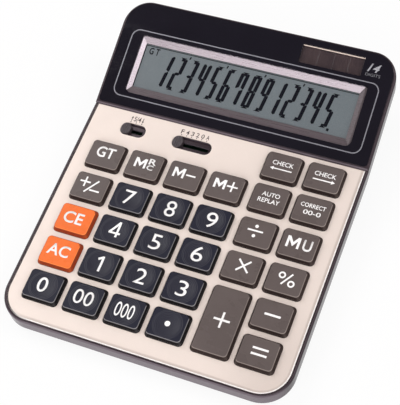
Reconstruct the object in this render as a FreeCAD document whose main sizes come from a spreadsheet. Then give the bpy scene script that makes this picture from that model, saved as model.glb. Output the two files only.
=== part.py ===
"""Desktop calculator with a metal keypad plate, a raised solar display and thirty-one sprung keys.

Millimetres, +Z up, +Y towards the display, feet on z = 0. The origin is the middle of the footprint.
The keypad plane leans up towards the back, and the display plane leans up more steeply behind it.
"""
import FreeCAD, Part
import math
import os
import re

# Driving sizes, one cell of the sheet each
SIZES = {
    # How far a shape that only cuts runs past what it cuts
    "cutter_reach": 1.0,
    # Keys: footprint where the cap meets the plate, and the spaces between caps
    "key_width": 19.7,
    "key_length": 16.3,
    "key_side_space": 2.8,
    "key_row_space": 3.24,
    "key_block_space": 1.24,
    "memory_row_shift": 0.4,
    "key_rise": 2.8,
    "key_draft": 0.82,
    "key_corner": 2.1,
    "key_edge": 0.5,
    "key_wall": 1.3,
    "key_roof": 1.4,
    "key_inner_corner": 0.8,
    "key_clearance": 0.25,
    "key_skirt_inset": 0.1,
    "key_travel": 1.5,
    "flange_reach": 1.0,
    "flange_thickness": 0.9,
    "flange_gap": 0.2,
    "key_stem_radius": 2.2,
    "stem_gap": 0.15,
    "dish_radius": 6.3,
    "dish_depth": 0.55,
    # Metal plate, the rim around it and the deck under it
    "plate_thickness": 0.5,
    "plate_side_margin": 8.18,
    "plate_front_margin": 10.45,
    "plate_back_margin": 2.9,
    "plate_corner": 15.0,
    "plate_bevel": 0.2,
    "plate_gap": 0.1,
    "rim_width": 1.6,
    "rim_rise": 0.25,
    "rim_round": 1.2,
    "deck_thickness": 1.6,
    # Upper case
    "keypad_tilt": 4.0,
    "display_bend": 15.0,
    "keypad_height": 16.0,
    "skirt_depth": 7.0,
    "skirt_wall": 2.0,
    "back_corner": 14.0,
    "case_split": 3.0,
    "lip_rise": 1.0,
    "lip_round": 0.9,
    # Display, stacked from its front lip to the back edge
    "band_depth": 7.2,
    "frame_band": 2.8,
    "window_depth": 32.9,
    "window_band": 2.6,
    "solar_band": 1.7,
    "solar_depth": 10.4,
    "back_band": 4.8,
    "window_inset": 13.9,
    "window_slope_side": 2.5,
    "window_slope_front": 3.9,
    "lens_thickness": 1.2,
    "lens_inset": 1.5,
    "lens_front_corner": 2.0,
    "lens_gap": 0.1,
    "lens_edge": 0.3,
    "display_deck": 2.0,
    "frame_thickness": 1.8,
    "frame_lip": 2.0,
    "frame_step": 0.6,
    "frame_gap": 0.2,
    "lcd_overlap": 1.9,
    "lcd_thickness": 2.0,
    "holder_thickness": 1.6,
    "holder_side_reach": 4.7,
    "holder_back_reach": 3.6,
    "ribbon_width": 80.0,
    "ribbon_thickness": 0.2,
    "ribbon_bond": 2.4,
    "solar_width": 33.7,
    "solar_inset": 18.4,
    "solar_border": 0.9,
    "solar_thickness": 1.0,
    "solar_sink": 0.4,
    "solar_gap": 0.2,
    "solar_wire_hole_width": 6.0,
    "solar_wire_hole_depth": 3.0,
    # Slide switches
    "slot_width": 7.6,
    "rounding_slot": 14.2,
    "decimal_slot": 22.0,
    "rounding_slot_inset": 25.2,
    "slot_spacing": 33.8,
    "slot_corner": 3.5,
    "switch_shift": 0.45,
    "tray_depth": 1.7,
    "tray_floor": 1.2,
    "tray_wall": 1.2,
    "knob_length": 5.6,
    "knob_gap": 0.35,
    "knob_rise": 0.9,
    "knob_round": 0.8,
    "knob_corner": 2.7,
    "knob_groove": 0.5,
    "knob_groove_depth": 0.3,
    "knob_groove_pitch": 1.1,
    "knob_stem": 2.0,
    "knob_foot": 4.6,
    "knob_foot_thickness": 0.7,
    "slit_gap": 0.25,
    "wiper_sheet": 0.3,
    "wiper_width": 3.4,
    "wiper_gap": 0.1,
    "wiper_lean": 1.2,
    "wiper_toe": 1.8,
    # Rubber sheet, circuit board and what is soldered to it
    "sheet_thickness": 0.8,
    "sheet_margin": 1.2,
    "dome_height": 1.3,
    "dome_foot": 4.2,
    "dome_top": 2.7,
    "dome_wall": 0.6,
    "pill_radius": 1.5,
    "board_thickness": 1.4,
    "board_side_margin": 2.8,
    "board_front_margin": 6.4,
    "board_back_margin": 5.3,
    "board_corner": 13.0,
    "board_hole_gap": 0.2,
    "board_notch_gap": 0.4,
    "chip_radius": 7.0,
    "chip_height": 1.3,
    "chip_round": 1.0,
    "chip_y": 20.0,
    "capacitor_radius": 2.5,
    "capacitor_length": 11.0,
    "capacitor_round": 0.6,
    "capacitor_x": 30.0,
    # Lower case
    "base_height": 1.5,
    "base_wall": 1.6,
    "base_round": 1.0,
    "tub_wall": 1.6,
    "tub_gap": 0.3,
    "tub_side_lean": 2.8,
    "tub_end_lean": 1.2,
    "rest_gap": 0.2,
    "rest_radius": 1.6,
    "rest_spacing": 39.0,
    "foot_radius": 5.0,
    "foot_sink": 0.5,
    "foot_gap": 0.1,
    "foot_side_inset": 13.5,
    "foot_front_inset": 14.0,
    "foot_back_inset": 22.0,
    # Screws and the posts they go into
    "case_post_radius": 2.5,
    "case_post_inset": 8.1,
    "case_post_x": 38.0,
    "rear_post_x": 60.0,
    "front_post_height": 5.0,
    "rear_post_height": 14.0,
    "post_web": 1.4,
    "case_screw_radius": 1.1,
    "case_screw_grip": 3.8,
    "case_head_radius": 2.1,
    "case_head_height": 1.6,
    "board_post_radius": 1.9,
    "board_screw_radius": 0.8,
    "board_screw_corner_inset": 12.52,
    "board_screw_slot_gap": 16.9,
    "board_screw_front_inset": 2.5,
    "board_screw_back_inset": 2.1,
    "board_screw_side_inset": 3.5,
    "holder_screw_inset": 2.3,
    "board_screw_length": 4.4,
    "board_head_radius": 1.7,
    "board_head_height": 1.0,
    "screw_gap": 0.05,
    "head_gap": 0.3,
    "tip_gap": 0.3,
    "cross_width": 0.6,
    # Battery, its chamber, contacts and sliding cover
    "battery_radius": 7.1,
    "battery_length": 49.2,
    "battery_round": 0.6,
    "battery_nub_radius": 2.7,
    "battery_nub_length": 1.3,
    "battery_gap": 0.4,
    "battery_back": 22.7,
    "spring_length": 4.4,
    "spring_radius": 3.6,
    "spring_wire": 0.4,
    "contact_thickness": 0.4,
    "contact_size": 11.0,
    "chamber_wall": 1.4,
    "chamber_lead_hole": 0.8,
    "cover_tongue": 1.4,
    "cover_tongue_height": 0.8,
    "cover_gap": 0.2,
    "cover_side_margin": 1.6,
    "cover_front_margin": 2.4,
    "cover_rib": 0.4,
    "cover_rib_width": 0.8,
    "cover_rib_length": 18.0,
    "cover_rib_pitch": 2.2,
    "cover_rib_inset": 3.0,
    "spring_turns": 3.0,
    "lead_radius": 0.5,
    "lead_bend": 2.5,
    "lead_drop": 3.0,
    "lead_reach": 4.0,
    "lead_spacing": 1.3,
}

# Values worked out from the driving sizes
DERIVED = {
    "column_pitch": "key_width + key_side_space",
    "row_pitch": "key_length + key_row_space",
    "field_half_width": "2.5 * column_pitch + key_block_space / 2 + key_width / 2",
    "field_half_length": "2.5 * row_pitch + key_length / 2",
    "plate_half_width": "field_half_width + plate_side_margin",
    "plate_front": "field_half_length + plate_front_margin",
    "lip_y": "field_half_length + plate_back_margin",
    "half_width": "plate_half_width + rim_width",
    "display_tilt": "keypad_tilt + display_bend",
    "window_front": "band_depth + frame_band",
    "window_back": "window_front + window_depth",
    "solar_front": "window_back + window_band + solar_band",
    "display_length": "solar_front + solar_depth + back_band",
    "keypad_run": "(plate_front + rim_width + lip_y) * cos(keypad_tilt) - lip_rise * sin(keypad_tilt)",
    "half_length": "(keypad_run + display_length * cos(display_tilt)) / 2",
    "keypad_y": "(plate_front + rim_width) * cos(keypad_tilt) - half_length",
    "display_y": "keypad_run - half_length",
    "display_z": "keypad_height + lip_y * sin(keypad_tilt) + lip_rise * cos(keypad_tilt)",
    "case_top": "display_z + display_length * sin(display_tilt)",
    "far": "4 * half_length",
    "deck_under": "-plate_thickness - deck_thickness",
    "display_under": "-lens_thickness - display_deck",
    "flange_top": "deck_under - flange_gap",
    "flange_bottom": "flange_top - flange_thickness",
    "sheet_top": "flange_bottom - key_travel - flange_gap",
    "board_top": "sheet_top - sheet_thickness",
    "board_bottom": "board_top - board_thickness",
    "dome_tip": "sheet_top + dome_height",
    "stem_bottom": "dome_tip + stem_gap",
    "pill_bottom": "board_top + key_travel - stem_gap",
    "deck_middle": "-plate_thickness - deck_thickness / 2",
    "display_deck_middle": "-lens_thickness - display_deck / 2",
    "dish_ball_radius": "(dish_radius * dish_radius + dish_depth * dish_depth) / (2 * dish_depth)",
    "board_half_width": "field_half_width + board_side_margin",
    "board_front": "field_half_length + board_front_margin",
    "board_back": "field_half_length + board_back_margin",
    "rounding_slot_x": "plate_half_width - rounding_slot_inset",
    "decimal_slot_x": "rounding_slot_x - slot_spacing",
    "board_screw_front_x": "board_half_width - board_screw_corner_inset",
    "board_screw_middle_x": "decimal_slot / 2 - decimal_slot_x + board_screw_slot_gap",
    "last_gap_x": "2 * column_pitch + key_block_space / 2",
    "window_half_width": "half_width - window_inset",
    "window_middle": "(window_front + window_back) / 2",
    "frame_half_width": "window_half_width + frame_lip",
    "frame_depth": "window_depth + 2 * frame_lip",
    "view_half_width": "window_half_width - window_slope_side",
    "view_depth": "window_depth - 2 * window_slope_front",
    "lcd_top": "-lens_thickness - frame_thickness",
    "lcd_bottom": "lcd_top - lcd_thickness",
    "lcd_half_width": "view_half_width + lcd_overlap",
    "lcd_depth": "view_depth + 2 * lcd_overlap",
    "holder_bottom": "lcd_bottom - holder_thickness",
    "holder_half_width": "frame_half_width + holder_side_reach",
    "holder_front": "window_middle - lcd_depth / 2 + ribbon_bond + frame_gap",
    "holder_back": "window_back + holder_back_reach",
    "solar_x": "half_width - solar_inset - solar_width / 2",
    "solar_y": "solar_front + solar_depth / 2",
    "solar_top": "-lens_thickness - solar_sink",
    "solar_bottom": "solar_top - solar_thickness",
    "switch_y": "row_pitch * 2.5 + switch_shift",
    "tray_under": "-tray_depth - tray_floor",
    "foot_top": "tray_under - knob_gap / 2",
    "foot_bottom": "foot_top - knob_foot_thickness",
    "tub_half_width": "half_width - skirt_wall - tub_gap",
    "tub_half_length": "half_length - skirt_wall - tub_gap",
    "floor_top": "base_height + base_wall",
    "case_post_y": "case_post_inset - half_length",
    "rear_post_y": "half_length - case_post_inset",
    "front_post_top": "keypad_height + (case_post_y - keypad_y) * tan(keypad_tilt)"
                      " + deck_middle / cos(keypad_tilt)",
    "rear_post_top": "display_z + (rear_post_y - display_y) * tan(display_tilt)"
                     " + display_deck_middle / cos(display_tilt)",
    "lower_post_radius": "case_head_radius + head_gap + post_web",
    "battery_y": "half_length - battery_back",
    "battery_z": "floor_top + battery_gap + battery_radius",
    "chamber_half_length": "(battery_length + battery_nub_length + spring_length) / 2 + contact_thickness",
    "chamber_half_width": "battery_radius + battery_gap",
    "chamber_top": "battery_z + battery_radius + battery_gap",
    "cover_half_width": "chamber_half_length + cover_side_margin",
    "cover_front": "battery_y - chamber_half_width - cover_front_margin",
}

# Each frame is tilted about X: its origin's y and z in the case, and its tilt
FRAMES = {
    "case": ("0", "0", "0"),
    "keypad": ("keypad_y", "keypad_height", "keypad_tilt"),
    "display": ("display_y", "display_z", "display_tilt"),
}

document = FreeCAD.newDocument("desktop_calculator")
sheet = document.addObject("Spreadsheet::Sheet", "sizes")
for row, (name, size) in enumerate(SIZES.items(), 1):
    sheet.set(f"A{row}", name)
    sheet.set(f"B{row}", str(size))
    sheet.setAlias(f"B{row}", name)
derived = document.addObject("App::VarSet", "derived")


def formula(text):
    """The text with every size's name pointing at the sheet or at the derived values."""
    def owner(word):
        if word.group() in SIZES:
            return "sizes." + word.group()
        if word.group() in DERIVED:
            return "derived." + word.group()
        return word.group()
    return re.sub(r"[a-z_][a-z0-9_]*", owner, str(text))


for name in DERIVED:
    derived.addProperty("App::PropertyFloat", name)
for name, text in DERIVED.items():
    derived.setExpression(name, formula(text))
document.recompute()


def number(text):
    """What a formula comes to now."""
    return float(derived.evalExpression(formula(text)))


def in_frame(frame, y, z):
    """The formulas of a frame's point y, z in the case's own coordinates."""
    frame_y, frame_z, tilt = FRAMES[frame]
    return (
        f"{frame_y} + ({y}) * cos({tilt}) - ({z}) * sin({tilt})",
        f"{frame_z} + ({y}) * sin({tilt}) + ({z}) * cos({tilt})",
    )


def spot(frame, x, y, z):
    """A frame's point in the case's own coordinates, as numbers."""
    case_y, case_z = in_frame(frame, y, z)
    return FreeCAD.Vector(number(x), number(case_y), number(case_z))


def made(kind, name, texts):
    """A new shape of the document with its properties tied to formulas."""
    thing = document.addObject("Part::" + kind, name)
    for key, text in texts.items():
        thing.setExpression(key, formula(text))
    return thing


def place(thing, x="0", y="0", z="0", frame="case", turn="0", axis=(1, 0, 0)):
    """Puts a thing's own origin at x, y, z of a frame, turned about an axis and lying as the frame does."""
    case_y, case_z = in_frame(frame, y, z)
    thing.Placement = FreeCAD.Placement(FreeCAD.Vector(), FreeCAD.Rotation(FreeCAD.Vector(*axis), 1))
    thing.setExpression("Placement.Base.x", formula(x))
    thing.setExpression("Placement.Base.y", formula(case_y))
    thing.setExpression("Placement.Base.z", formula(case_z))
    thing.setExpression("Placement.Rotation.Angle", formula(f"{FRAMES[frame][2]} + {turn}"))
    return thing


def box(name, x_size, y_size, low, high, x="0", y="0", frame="case"):
    """A box centred on x, y."""
    block = made("Box", name, {"Length": x_size, "Width": y_size, "Height": f"({high}) - ({low})"})
    return place(block, f"({x}) - ({x_size}) / 2", f"({y}) - ({y_size}) / 2", low, frame)


def rod(name, radius, low, high, x="0", y="0", frame="case"):
    """A round rod standing on x, y."""
    return place(made("Cylinder", name, {"Radius": radius, "Height": f"({high}) - ({low})"}), x, y, low, frame)


def cone(name, foot_radius, top_radius, low, high, x="0", y="0"):
    """A cone standing on x, y."""
    sizes = {"Radius1": foot_radius, "Radius2": top_radius, "Height": f"({high}) - ({low})"}
    return place(made("Cone", name, sizes), x, y, low)


def leaning(name, foot_x, foot_y, top_x, top_y, low, high, x="0", y="0"):
    """A block centred on x, y whose four sides lean: foot_x by foot_y at low and top_x by top_y at high."""
    return place(made("Wedge", name, {
        "Xmin": f"-({foot_x}) / 2",
        "Xmax": f"({foot_x}) / 2",
        "Zmin": f"-({foot_y}) / 2",
        "Zmax": f"({foot_y}) / 2",
        "X2min": f"-({top_x}) / 2",
        "X2max": f"({top_x}) / 2",
        "Z2min": f"-({top_y}) / 2",
        "Z2max": f"({top_y}) / 2",
        "Ymin": "0",
        "Ymax": f"({high}) - ({low})",
    }), x, y, low, turn="90")


def group(name, things):
    """Several shapes as one, not melted together."""
    whole = document.addObject("Part::Compound", name)
    whole.Links = things
    return whole


def copy(thing, name, x="0", y="0", z="0", frame="case"):
    """The same shape again, its origin at x, y, z of a frame."""
    return place(group(name, [thing]), x, y, z, frame)


def fused(name, things):
    """Several shapes melted into one."""
    whole = document.addObject("Part::MultiFuse", name)
    whole.Shapes = things
    return whole


def shared(name, first, second):
    """What two shapes have in common."""
    rest = document.addObject("Part::Common", name)
    rest.Base = first
    rest.Tool = second
    return rest


def cut(name, first, tool):
    """A shape without what a second one takes up."""
    rest = document.addObject("Part::Cut", name)
    rest.Base = first
    rest.Tool = tool
    return rest


def climbs(edge):
    """Whether an edge goes from one height to another."""
    return edge.BoundBox.ZLength > 0.05


def front_climbs(edge):
    """Whether an edge climbs in the front half."""
    return climbs(edge) and edge.BoundBox.Center.y < 0


def lies_at(height, frame="case", behind=None):
    """A test for edges that lie flat at a height of a frame, and behind a y of it where one is given."""
    frame_y, frame_z, tilt = (number(text) for text in FRAMES[frame])
    turn = FreeCAD.Rotation(FreeCAD.Vector(1, 0, 0), tilt)
    back = FreeCAD.Placement(FreeCAD.Vector(0, frame_y, frame_z), turn)
    back = back.inverse()

    def test(edge):
        points = [back.multVec(point) for point in edge.discretize(5)]
        level = all(abs(point.z - number(height)) < 0.01 for point in points)
        return level and (behind is None or max(point.y for point in points) > number(behind) + 0.01)
    return test


def rounded(name, base, *choices):
    """A shape with some edges rounded; each choice is a test of an edge and the radius it gets."""
    document.recompute()
    edges = []
    for index, edge in enumerate(base.Shape.Edges, 1):
        radius = next((number(size) for test, size in choices if test(edge)), None)
        if radius:
            edges.append((index, radius, radius))
    result = document.addObject("Part::Fillet", name)
    result.Base = base
    result.Edges = edges
    return result


def cornered(name, x_size, y_size, low, high, front_corner, back_corner, x="0", y="0"):
    """A box centred on x, y with its upright edges rounded."""
    block = box(name + "_block", x_size, y_size, low, high)
    corners = rounded(name, block, (front_climbs, front_corner), (climbs, back_corner))
    return place(corners, x, y)


def extruded(name, outline, low, high, along=(1, 0, 0)):
    """A flat outline given by its corners, drawn out along X or Y from low to high."""
    direction = FreeCAD.Vector(*along)
    corners = [corner + direction * number(low) for corner in outline]
    face = Part.Face(Part.makePolygon(corners + corners[:1]))
    thing = document.addObject("Part::Feature", name)
    thing.Shape = face.extrude(direction * (number(high) - number(low)))
    return thing


def cable(name, points):
    """A round lead through the points, bent where it turns."""
    bend = number("lead_bend")
    edges = []
    start = points[0]
    for before, corner, after in zip(points, points[1:], points[2:]):
        into = (corner - before).normalize()
        out = (after - corner).normalize()
        half_turn = into.getAngle(out) / 2
        entry = corner - into * bend * math.tan(half_turn)
        leave = corner + out * bend * math.tan(half_turn)
        middle = corner + (out - into).normalize() * bend * (1 / math.cos(half_turn) - 1)
        edges.append(Part.makeLine(start, entry))
        edges.append(Part.Arc(entry, middle, leave).toShape())
        start = leave
    edges.append(Part.makeLine(start, points[-1]))
    ring = Part.Wire(Part.makeCircle(number("lead_radius"), points[0], points[1] - points[0]))
    thing = document.addObject("Part::Feature", name)
    thing.Shape = Part.Wire(edges).makePipeShell([ring], True, False)
    return thing


NODES = {}


def node(name, thing, solids=1):
    """Names a finished piece, and says of how many solids it is."""
    thing.Label = name
    NODES[name] = (thing, solids)
    return thing


def case_outline(name, inset, low, high):
    """The case's outline from above, stood up as a block."""
    return cornered(name, f"2 * (half_width - ({inset}))", f"2 * (half_length - ({inset}))", low, high,
                    f"plate_corner + rim_width - ({inset})", f"back_corner - ({inset})")


# Where things stand: key columns and rows in the keypad frame, and screws in the frame of what they hold
def column_x(column):
    """The middle of a key column, counted from the left."""
    side = "-" if column < 4 else "+"
    return f"{column - 2.5} * column_pitch {side} key_block_space / 2"


def row_y(row):
    """The middle of a key row, counted from the display."""
    shift = " + memory_row_shift" if row == 1 else ""
    return f"{2.5 - row} * row_pitch{shift}"


KEYS = {
    "key_check_back": ("function", 4, 0),
    "key_check_forward": ("function", 5, 0),
    "key_gt": ("function", 0, 1),
    "key_mrc": ("function", 1, 1),
    "key_m_minus": ("function", 2, 1),
    "key_m_plus": ("function", 3, 1),
    "key_auto_replay": ("function", 4, 1),
    "key_correct": ("function", 5, 1),
    "key_sign": ("function", 0, 2),
    "key_7": ("digit", 1, 2),
    "key_8": ("digit", 2, 2),
    "key_9": ("digit", 3, 2),
    "key_divide": ("function", 4, 2),
    "key_mu": ("function", 5, 2),
    "key_ce": ("function", 0, 3),
    "key_4": ("digit", 1, 3),
    "key_5": ("digit", 2, 3),
    "key_6": ("digit", 3, 3),
    "key_multiply": ("function", 4, 3),
    "key_percent": ("function", 5, 3),
    "key_ac": ("function", 0, 4),
    "key_1": ("digit", 1, 4),
    "key_2": ("digit", 2, 4),
    "key_3": ("digit", 3, 4),
    "key_plus": ("tall", 4, 4.5),
    "key_minus": ("function", 5, 4),
    "key_0": ("digit", 0, 5),
    "key_00": ("digit", 1, 5),
    "key_000": ("digit", 2, 5),
    "key_point": ("digit", 3, 5),
    "key_equals": ("function", 5, 5),
}
SWITCHES = {
    "rounding": ("-rounding_slot_x", "rounding_slot"),
    "decimal": ("-decimal_slot_x", "decimal_slot"),
}
CASE_SCREWS = [
    ("-case_post_x", "case_post_y", "front_post_height"),
    ("0", "case_post_y", "front_post_height"),
    ("case_post_x", "case_post_y", "front_post_height"),
    ("-rear_post_x", "rear_post_y", "rear_post_height"),
    ("rear_post_x", "rear_post_y", "rear_post_height"),
]
BOARD_SCREWS = [
    ("-board_screw_front_x", "board_screw_front_inset - board_front"),
    ("board_screw_front_x", "board_screw_front_inset - board_front"),
    ("board_screw_side_inset - board_half_width", "switch_y"),
    ("-(rounding_slot_x - rounding_slot / 2 + decimal_slot_x + decimal_slot / 2) / 2", "switch_y"),
    ("board_screw_middle_x", "switch_y"),
    ("last_gap_x", "board_back - board_screw_back_inset"),
]
HOLDER_SCREWS = [
    (f"{side}(holder_half_width - holder_screw_inset)", y)
    for side in ("-", "")
    for y in ("holder_front + holder_screw_inset", "holder_back - holder_screw_inset")
]

# Key caps: one mould each for function keys, dished digit keys and the double-height key
CAP_LENGTHS = {"function": "key_length", "digit": "key_length", "tall": "(key_length + row_pitch)"}
caps = {}
for kind, length in CAP_LENGTHS.items():
    top = leaning(kind + "_top_block", "key_width", length, "key_width - 2 * key_draft",
                  f"{length} - 2 * key_draft", "0", "key_rise")
    top = rounded(kind + "_top", top, (climbs, "key_corner"), (lies_at("key_rise"), "key_edge"))
    skirt = cornered(kind + "_skirt", "key_width - 2 * key_skirt_inset", f"{length} - 2 * key_skirt_inset",
                     "flange_bottom", "key_edge", "key_corner", "key_corner")
    flange = cornered(kind + "_flange", "key_width + 2 * flange_reach", f"{length} + 2 * flange_reach",
                      "flange_bottom", "flange_top", "key_corner + flange_reach", "key_corner + flange_reach")
    hollow = cornered(kind + "_hollow", "key_width - 2 * key_wall", f"{length} - 2 * key_wall",
                      "flange_bottom - cutter_reach", "key_rise - key_roof", "key_inner_corner", "key_inner_corner")
    shell = cut(kind + "_shell", fused(kind + "_body", [top, skirt, flange]), hollow)
    stem = rod(kind + "_stem", "key_stem_radius", "stem_bottom", "key_rise - key_roof / 2 - dish_depth / 2")
    caps[kind] = fused(kind + "_cap", [shell, stem])
dish = made("Sphere", "dish_ball", {"Radius": "dish_ball_radius"})
caps["digit"] = cut("dished_cap", caps["digit"], place(dish, z="key_rise - dish_depth + dish_ball_radius"))
for name, (kind, column, row) in KEYS.items():
    node(name, copy(caps[kind], name, column_x(column), row_y(row), "0", "keypad"))

# Openings the plate and the deck share: key holes and the two switch slots
hole_shapes = {
    kind: cornered(kind + "_hole", "key_width + 2 * key_clearance", f"{length} + 2 * key_clearance",
                   "-skirt_depth", "cutter_reach", "key_corner + key_clearance", "key_corner + key_clearance")
    for kind, length in CAP_LENGTHS.items()
}
holes = [
    copy(hole_shapes[kind], "hole_" + name, column_x(column), row_y(row))
    for name, (kind, column, row) in KEYS.items()
]
slots = [
    cornered(name + "_slot", length, "slot_width", "-tray_depth", "cutter_reach", "slot_corner", "slot_corner",
             x, "switch_y")
    for name, (x, length) in SWITCHES.items()
]
openings = group("openings", holes + slots)

# Metal plate: let into the upper case, with its outer edges broken
plate = box("plate_block", "2 * plate_half_width", "plate_front + lip_y - plate_gap", "-plate_thickness", "0",
            y="(lip_y - plate_gap - plate_front) / 2")
plate = rounded("plate_outline", plate, (front_climbs, "plate_corner"))
plate = rounded("plate_blank", plate, (lies_at("0"), "plate_bevel"))
node("faceplate", place(cut("plate", plate, openings), frame="keypad"))

# Display stack, in the display frame
lens = cornered("lens_outline", "2 * (half_width - lens_inset)", "display_length - 2 * lens_inset",
                "-lens_thickness", "0", "lens_front_corner", "back_corner - lens_inset")
lens = rounded("lens", lens, (lies_at("0"), "lens_edge"))
node("display_lens", place(lens, y="display_length / 2", frame="display"))

ring = box("ring_block", "2 * frame_half_width", "frame_depth", "lcd_top", "-lens_thickness")
slope = leaning("ring_slope", "2 * view_half_width", "view_depth", "2 * window_half_width", "window_depth",
                "lcd_top + frame_step", "-lens_thickness")
view = box("ring_view", "2 * view_half_width", "view_depth", "lcd_top - cutter_reach",
           "lcd_top + frame_step * 1.5")
ring = cut("ring", ring, fused("ring_opening", [slope, view]))
node("display_frame", place(ring, y="window_middle", frame="display"))

glass = box("glass", "2 * lcd_half_width", "lcd_depth", "lcd_bottom", "lcd_top",
            y="window_middle", frame="display")
node("lcd_panel", glass)

holder = box("holder_block", "2 * holder_half_width", "holder_back - holder_front", "holder_bottom", "lcd_bottom",
             y="(holder_front + holder_back) / 2")
holder_holes = [
    rod(f"holder_hole_{index}", "board_screw_radius + board_hole_gap", "holder_bottom - cutter_reach",
        "lcd_bottom + cutter_reach", x, y)
    for index, (x, y) in enumerate(HOLDER_SCREWS)
]
holder = cut("holder", holder, group("holder_holes", holder_holes))
node("display_holder", place(holder, frame="display"))

cell = box("cell", "solar_width + 2 * solar_border", "solar_depth + 2 * solar_border", "solar_bottom", "solar_top",
           "solar_x", "solar_y", "display")
node("solar_cell", cell)

# Flexible ribbon: bonded on the board's back edge, then up and bonded under the glass
bond_front = "window_middle - lcd_depth / 2 + frame_gap"
ribbon = [
    spot("keypad", "0", "board_back - 2 * ribbon_thickness - ribbon_bond", "board_top + ribbon_thickness"),
    spot("keypad", "0", "board_back - 2 * ribbon_thickness - ribbon_bond", "board_top"),
    spot("keypad", "0", "board_back - ribbon_thickness", "board_top"),
    spot("display", "0", bond_front, "lcd_bottom - ribbon_thickness"),
    spot("display", "0", f"{bond_front} + ribbon_bond - ribbon_thickness", "lcd_bottom - ribbon_thickness"),
    spot("display", "0", f"{bond_front} + ribbon_bond - ribbon_thickness", "lcd_bottom"),
    spot("display", "0", bond_front, "lcd_bottom"),
    spot("keypad", "0", "board_back - 2 * ribbon_thickness", "board_top + ribbon_thickness"),
]
node("display_ribbon", extruded("ribbon", ribbon, "-ribbon_width / 2", "ribbon_width / 2"))

# Upper case: a rimmed deck under the keys and a steeper one under the display, over a skirt
full = case_outline("full_outline", "0", "-cutter_reach", "case_top + skirt_depth")
deck = box("deck_block", "2 * half_width", "far", "-skirt_depth", "rim_rise",
           y="lip_y + skirt_depth - cutter_reach - far / 2", frame="keypad")
deck = shared("deck_sides", full, deck)
deck = rounded("deck_rim", deck, (lies_at("rim_rise", "keypad"), "rim_round"))
deck = cut("deck", deck, box("below_display", "far", "far", "-far", "-skirt_depth", frame="display"))
head = box("head_block", "2 * half_width", "far", "-skirt_depth", "0", y="far / 2", frame="display")
head = shared("head_sides", full, head)
head = rounded("head", head, (lies_at("0", "display", "0"), "rim_round"), (lies_at("0", "display"), "lip_round"))
outer = fused("case_outer", [deck, head])
sky = shared(
    "sky",
    box("sky_keypad", "far", "far", "deck_under", "far", frame="keypad"),
    box("sky_display", "far", "far", "display_under", "far", frame="display"),
)
space = case_outline("inner_outline", "skirt_wall", "-2 * cutter_reach", "case_top + 2 * skirt_depth")
shell = cut("case_shell", outer, cut("cavity", space, sky))

# It is moulded in two: the keypad's part and the display's, which meet under the display lens
case_posts = [
    rod(f"case_post_{index}", "case_post_radius", height, top, x, y)
    for index, ((x, y, height), top) in enumerate(zip(CASE_SCREWS, ["front_post_top"] * 3 + ["rear_post_top"] * 2))
]
board_posts = [
    rod(f"board_post_{index}", "board_post_radius", "board_top", "deck_middle", x, y, "keypad")
    for index, (x, y) in enumerate(BOARD_SCREWS)
]
holder_posts = [
    rod(f"holder_post_{index}", "board_post_radius", "lcd_bottom", "display_deck_middle", x, y, "display")
    for index, (x, y) in enumerate(HOLDER_SCREWS)
]
trays = [
    copy(cornered(name + "_pan", f"{length} + 2 * tray_wall", "slot_width + 2 * tray_wall", "tray_under",
                  "deck_middle", "slot_corner + tray_wall", "slot_corner + tray_wall"),
         name + "_tray", x, "switch_y", "0", "keypad")
    for name, (x, length) in SWITCHES.items()
]
pilots = [
    rod(f"case_pilot_{index}", "case_screw_radius + screw_gap", f"{height} - cutter_reach",
        f"{height} + case_screw_grip + tip_gap", x, y)
    for index, (x, y, height) in enumerate(CASE_SCREWS)
]
pilots += [
    rod(f"board_pilot_{index}", "board_screw_radius + screw_gap", "board_top - cutter_reach",
        "board_bottom + board_screw_length + tip_gap", x, y, "keypad")
    for index, (x, y) in enumerate(BOARD_SCREWS)
]
pilots += [
    rod(f"holder_pilot_{index}", "board_screw_radius + screw_gap", "lcd_bottom - cutter_reach",
        "holder_bottom + board_screw_length + tip_gap", x, y, "display")
    for index, (x, y) in enumerate(HOLDER_SCREWS)
]
recesses = [
    copy(cornered("plate_recess", "2 * (plate_half_width + plate_gap)", "plate_front + plate_gap + lip_y",
                  "-plate_thickness", "skirt_depth", "plate_corner + plate_gap", "plate_gap"),
         "plate_recess_set", "0", "(lip_y - plate_front - plate_gap) / 2", "0", "keypad"),
    copy(cornered("lens_recess", "2 * (half_width - lens_inset + lens_gap)",
                  "display_length - 2 * (lens_inset - lens_gap)", "-lens_thickness", "cutter_reach",
                  "lens_front_corner + lens_gap", "back_corner - lens_inset + lens_gap"),
         "lens_recess_set", "0", "display_length / 2", "0", "display"),
]
window = box("window", "2 * (frame_half_width + frame_gap)", "frame_depth + 2 * frame_gap",
             "display_under - cutter_reach", "-lens_thickness + cutter_reach", y="window_middle", frame="display")
pocket = box("solar_pocket", "solar_width + 2 * (solar_border + solar_gap)",
             "solar_depth + 2 * (solar_border + solar_gap)", "solar_bottom", "-lens_thickness + cutter_reach",
             "solar_x", "solar_y", "display")
wire_hole = box("solar_wire_hole", "solar_wire_hole_width", "solar_wire_hole_depth", "display_under - cutter_reach",
                "solar_bottom + cutter_reach", "solar_x", "solar_y", "display")
slits = [
    box(name + "_slit", f"{length} - knob_length - 2 * knob_gap + knob_stem + 2 * slit_gap",
        "knob_stem + 2 * slit_gap", "tray_under - cutter_reach", "-tray_depth + cutter_reach",
        x, "switch_y", "keypad")
    for name, (x, length) in SWITCHES.items()
]
front_side = box("front_side", "far", "far", "-far", "far", y="case_split - far / 2", frame="display")
front = fused("front_solid", [shared("front_shell", shell, front_side)] + case_posts[:3] + board_posts + trays)
back = fused("back_solid", [cut("back_shell", shell, front_side)] + case_posts[3:] + holder_posts)
gone = group("case_holes", [copy(openings, "case_openings", frame="keypad")] + slits + pilots)
node("keypad_case", cut("keypad_case_bored", cut("keypad_case_solid", front, group("recesses", recesses)), gone))
gone = fused("display_holes", [recesses[1], window, pocket, wire_hole])
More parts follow.
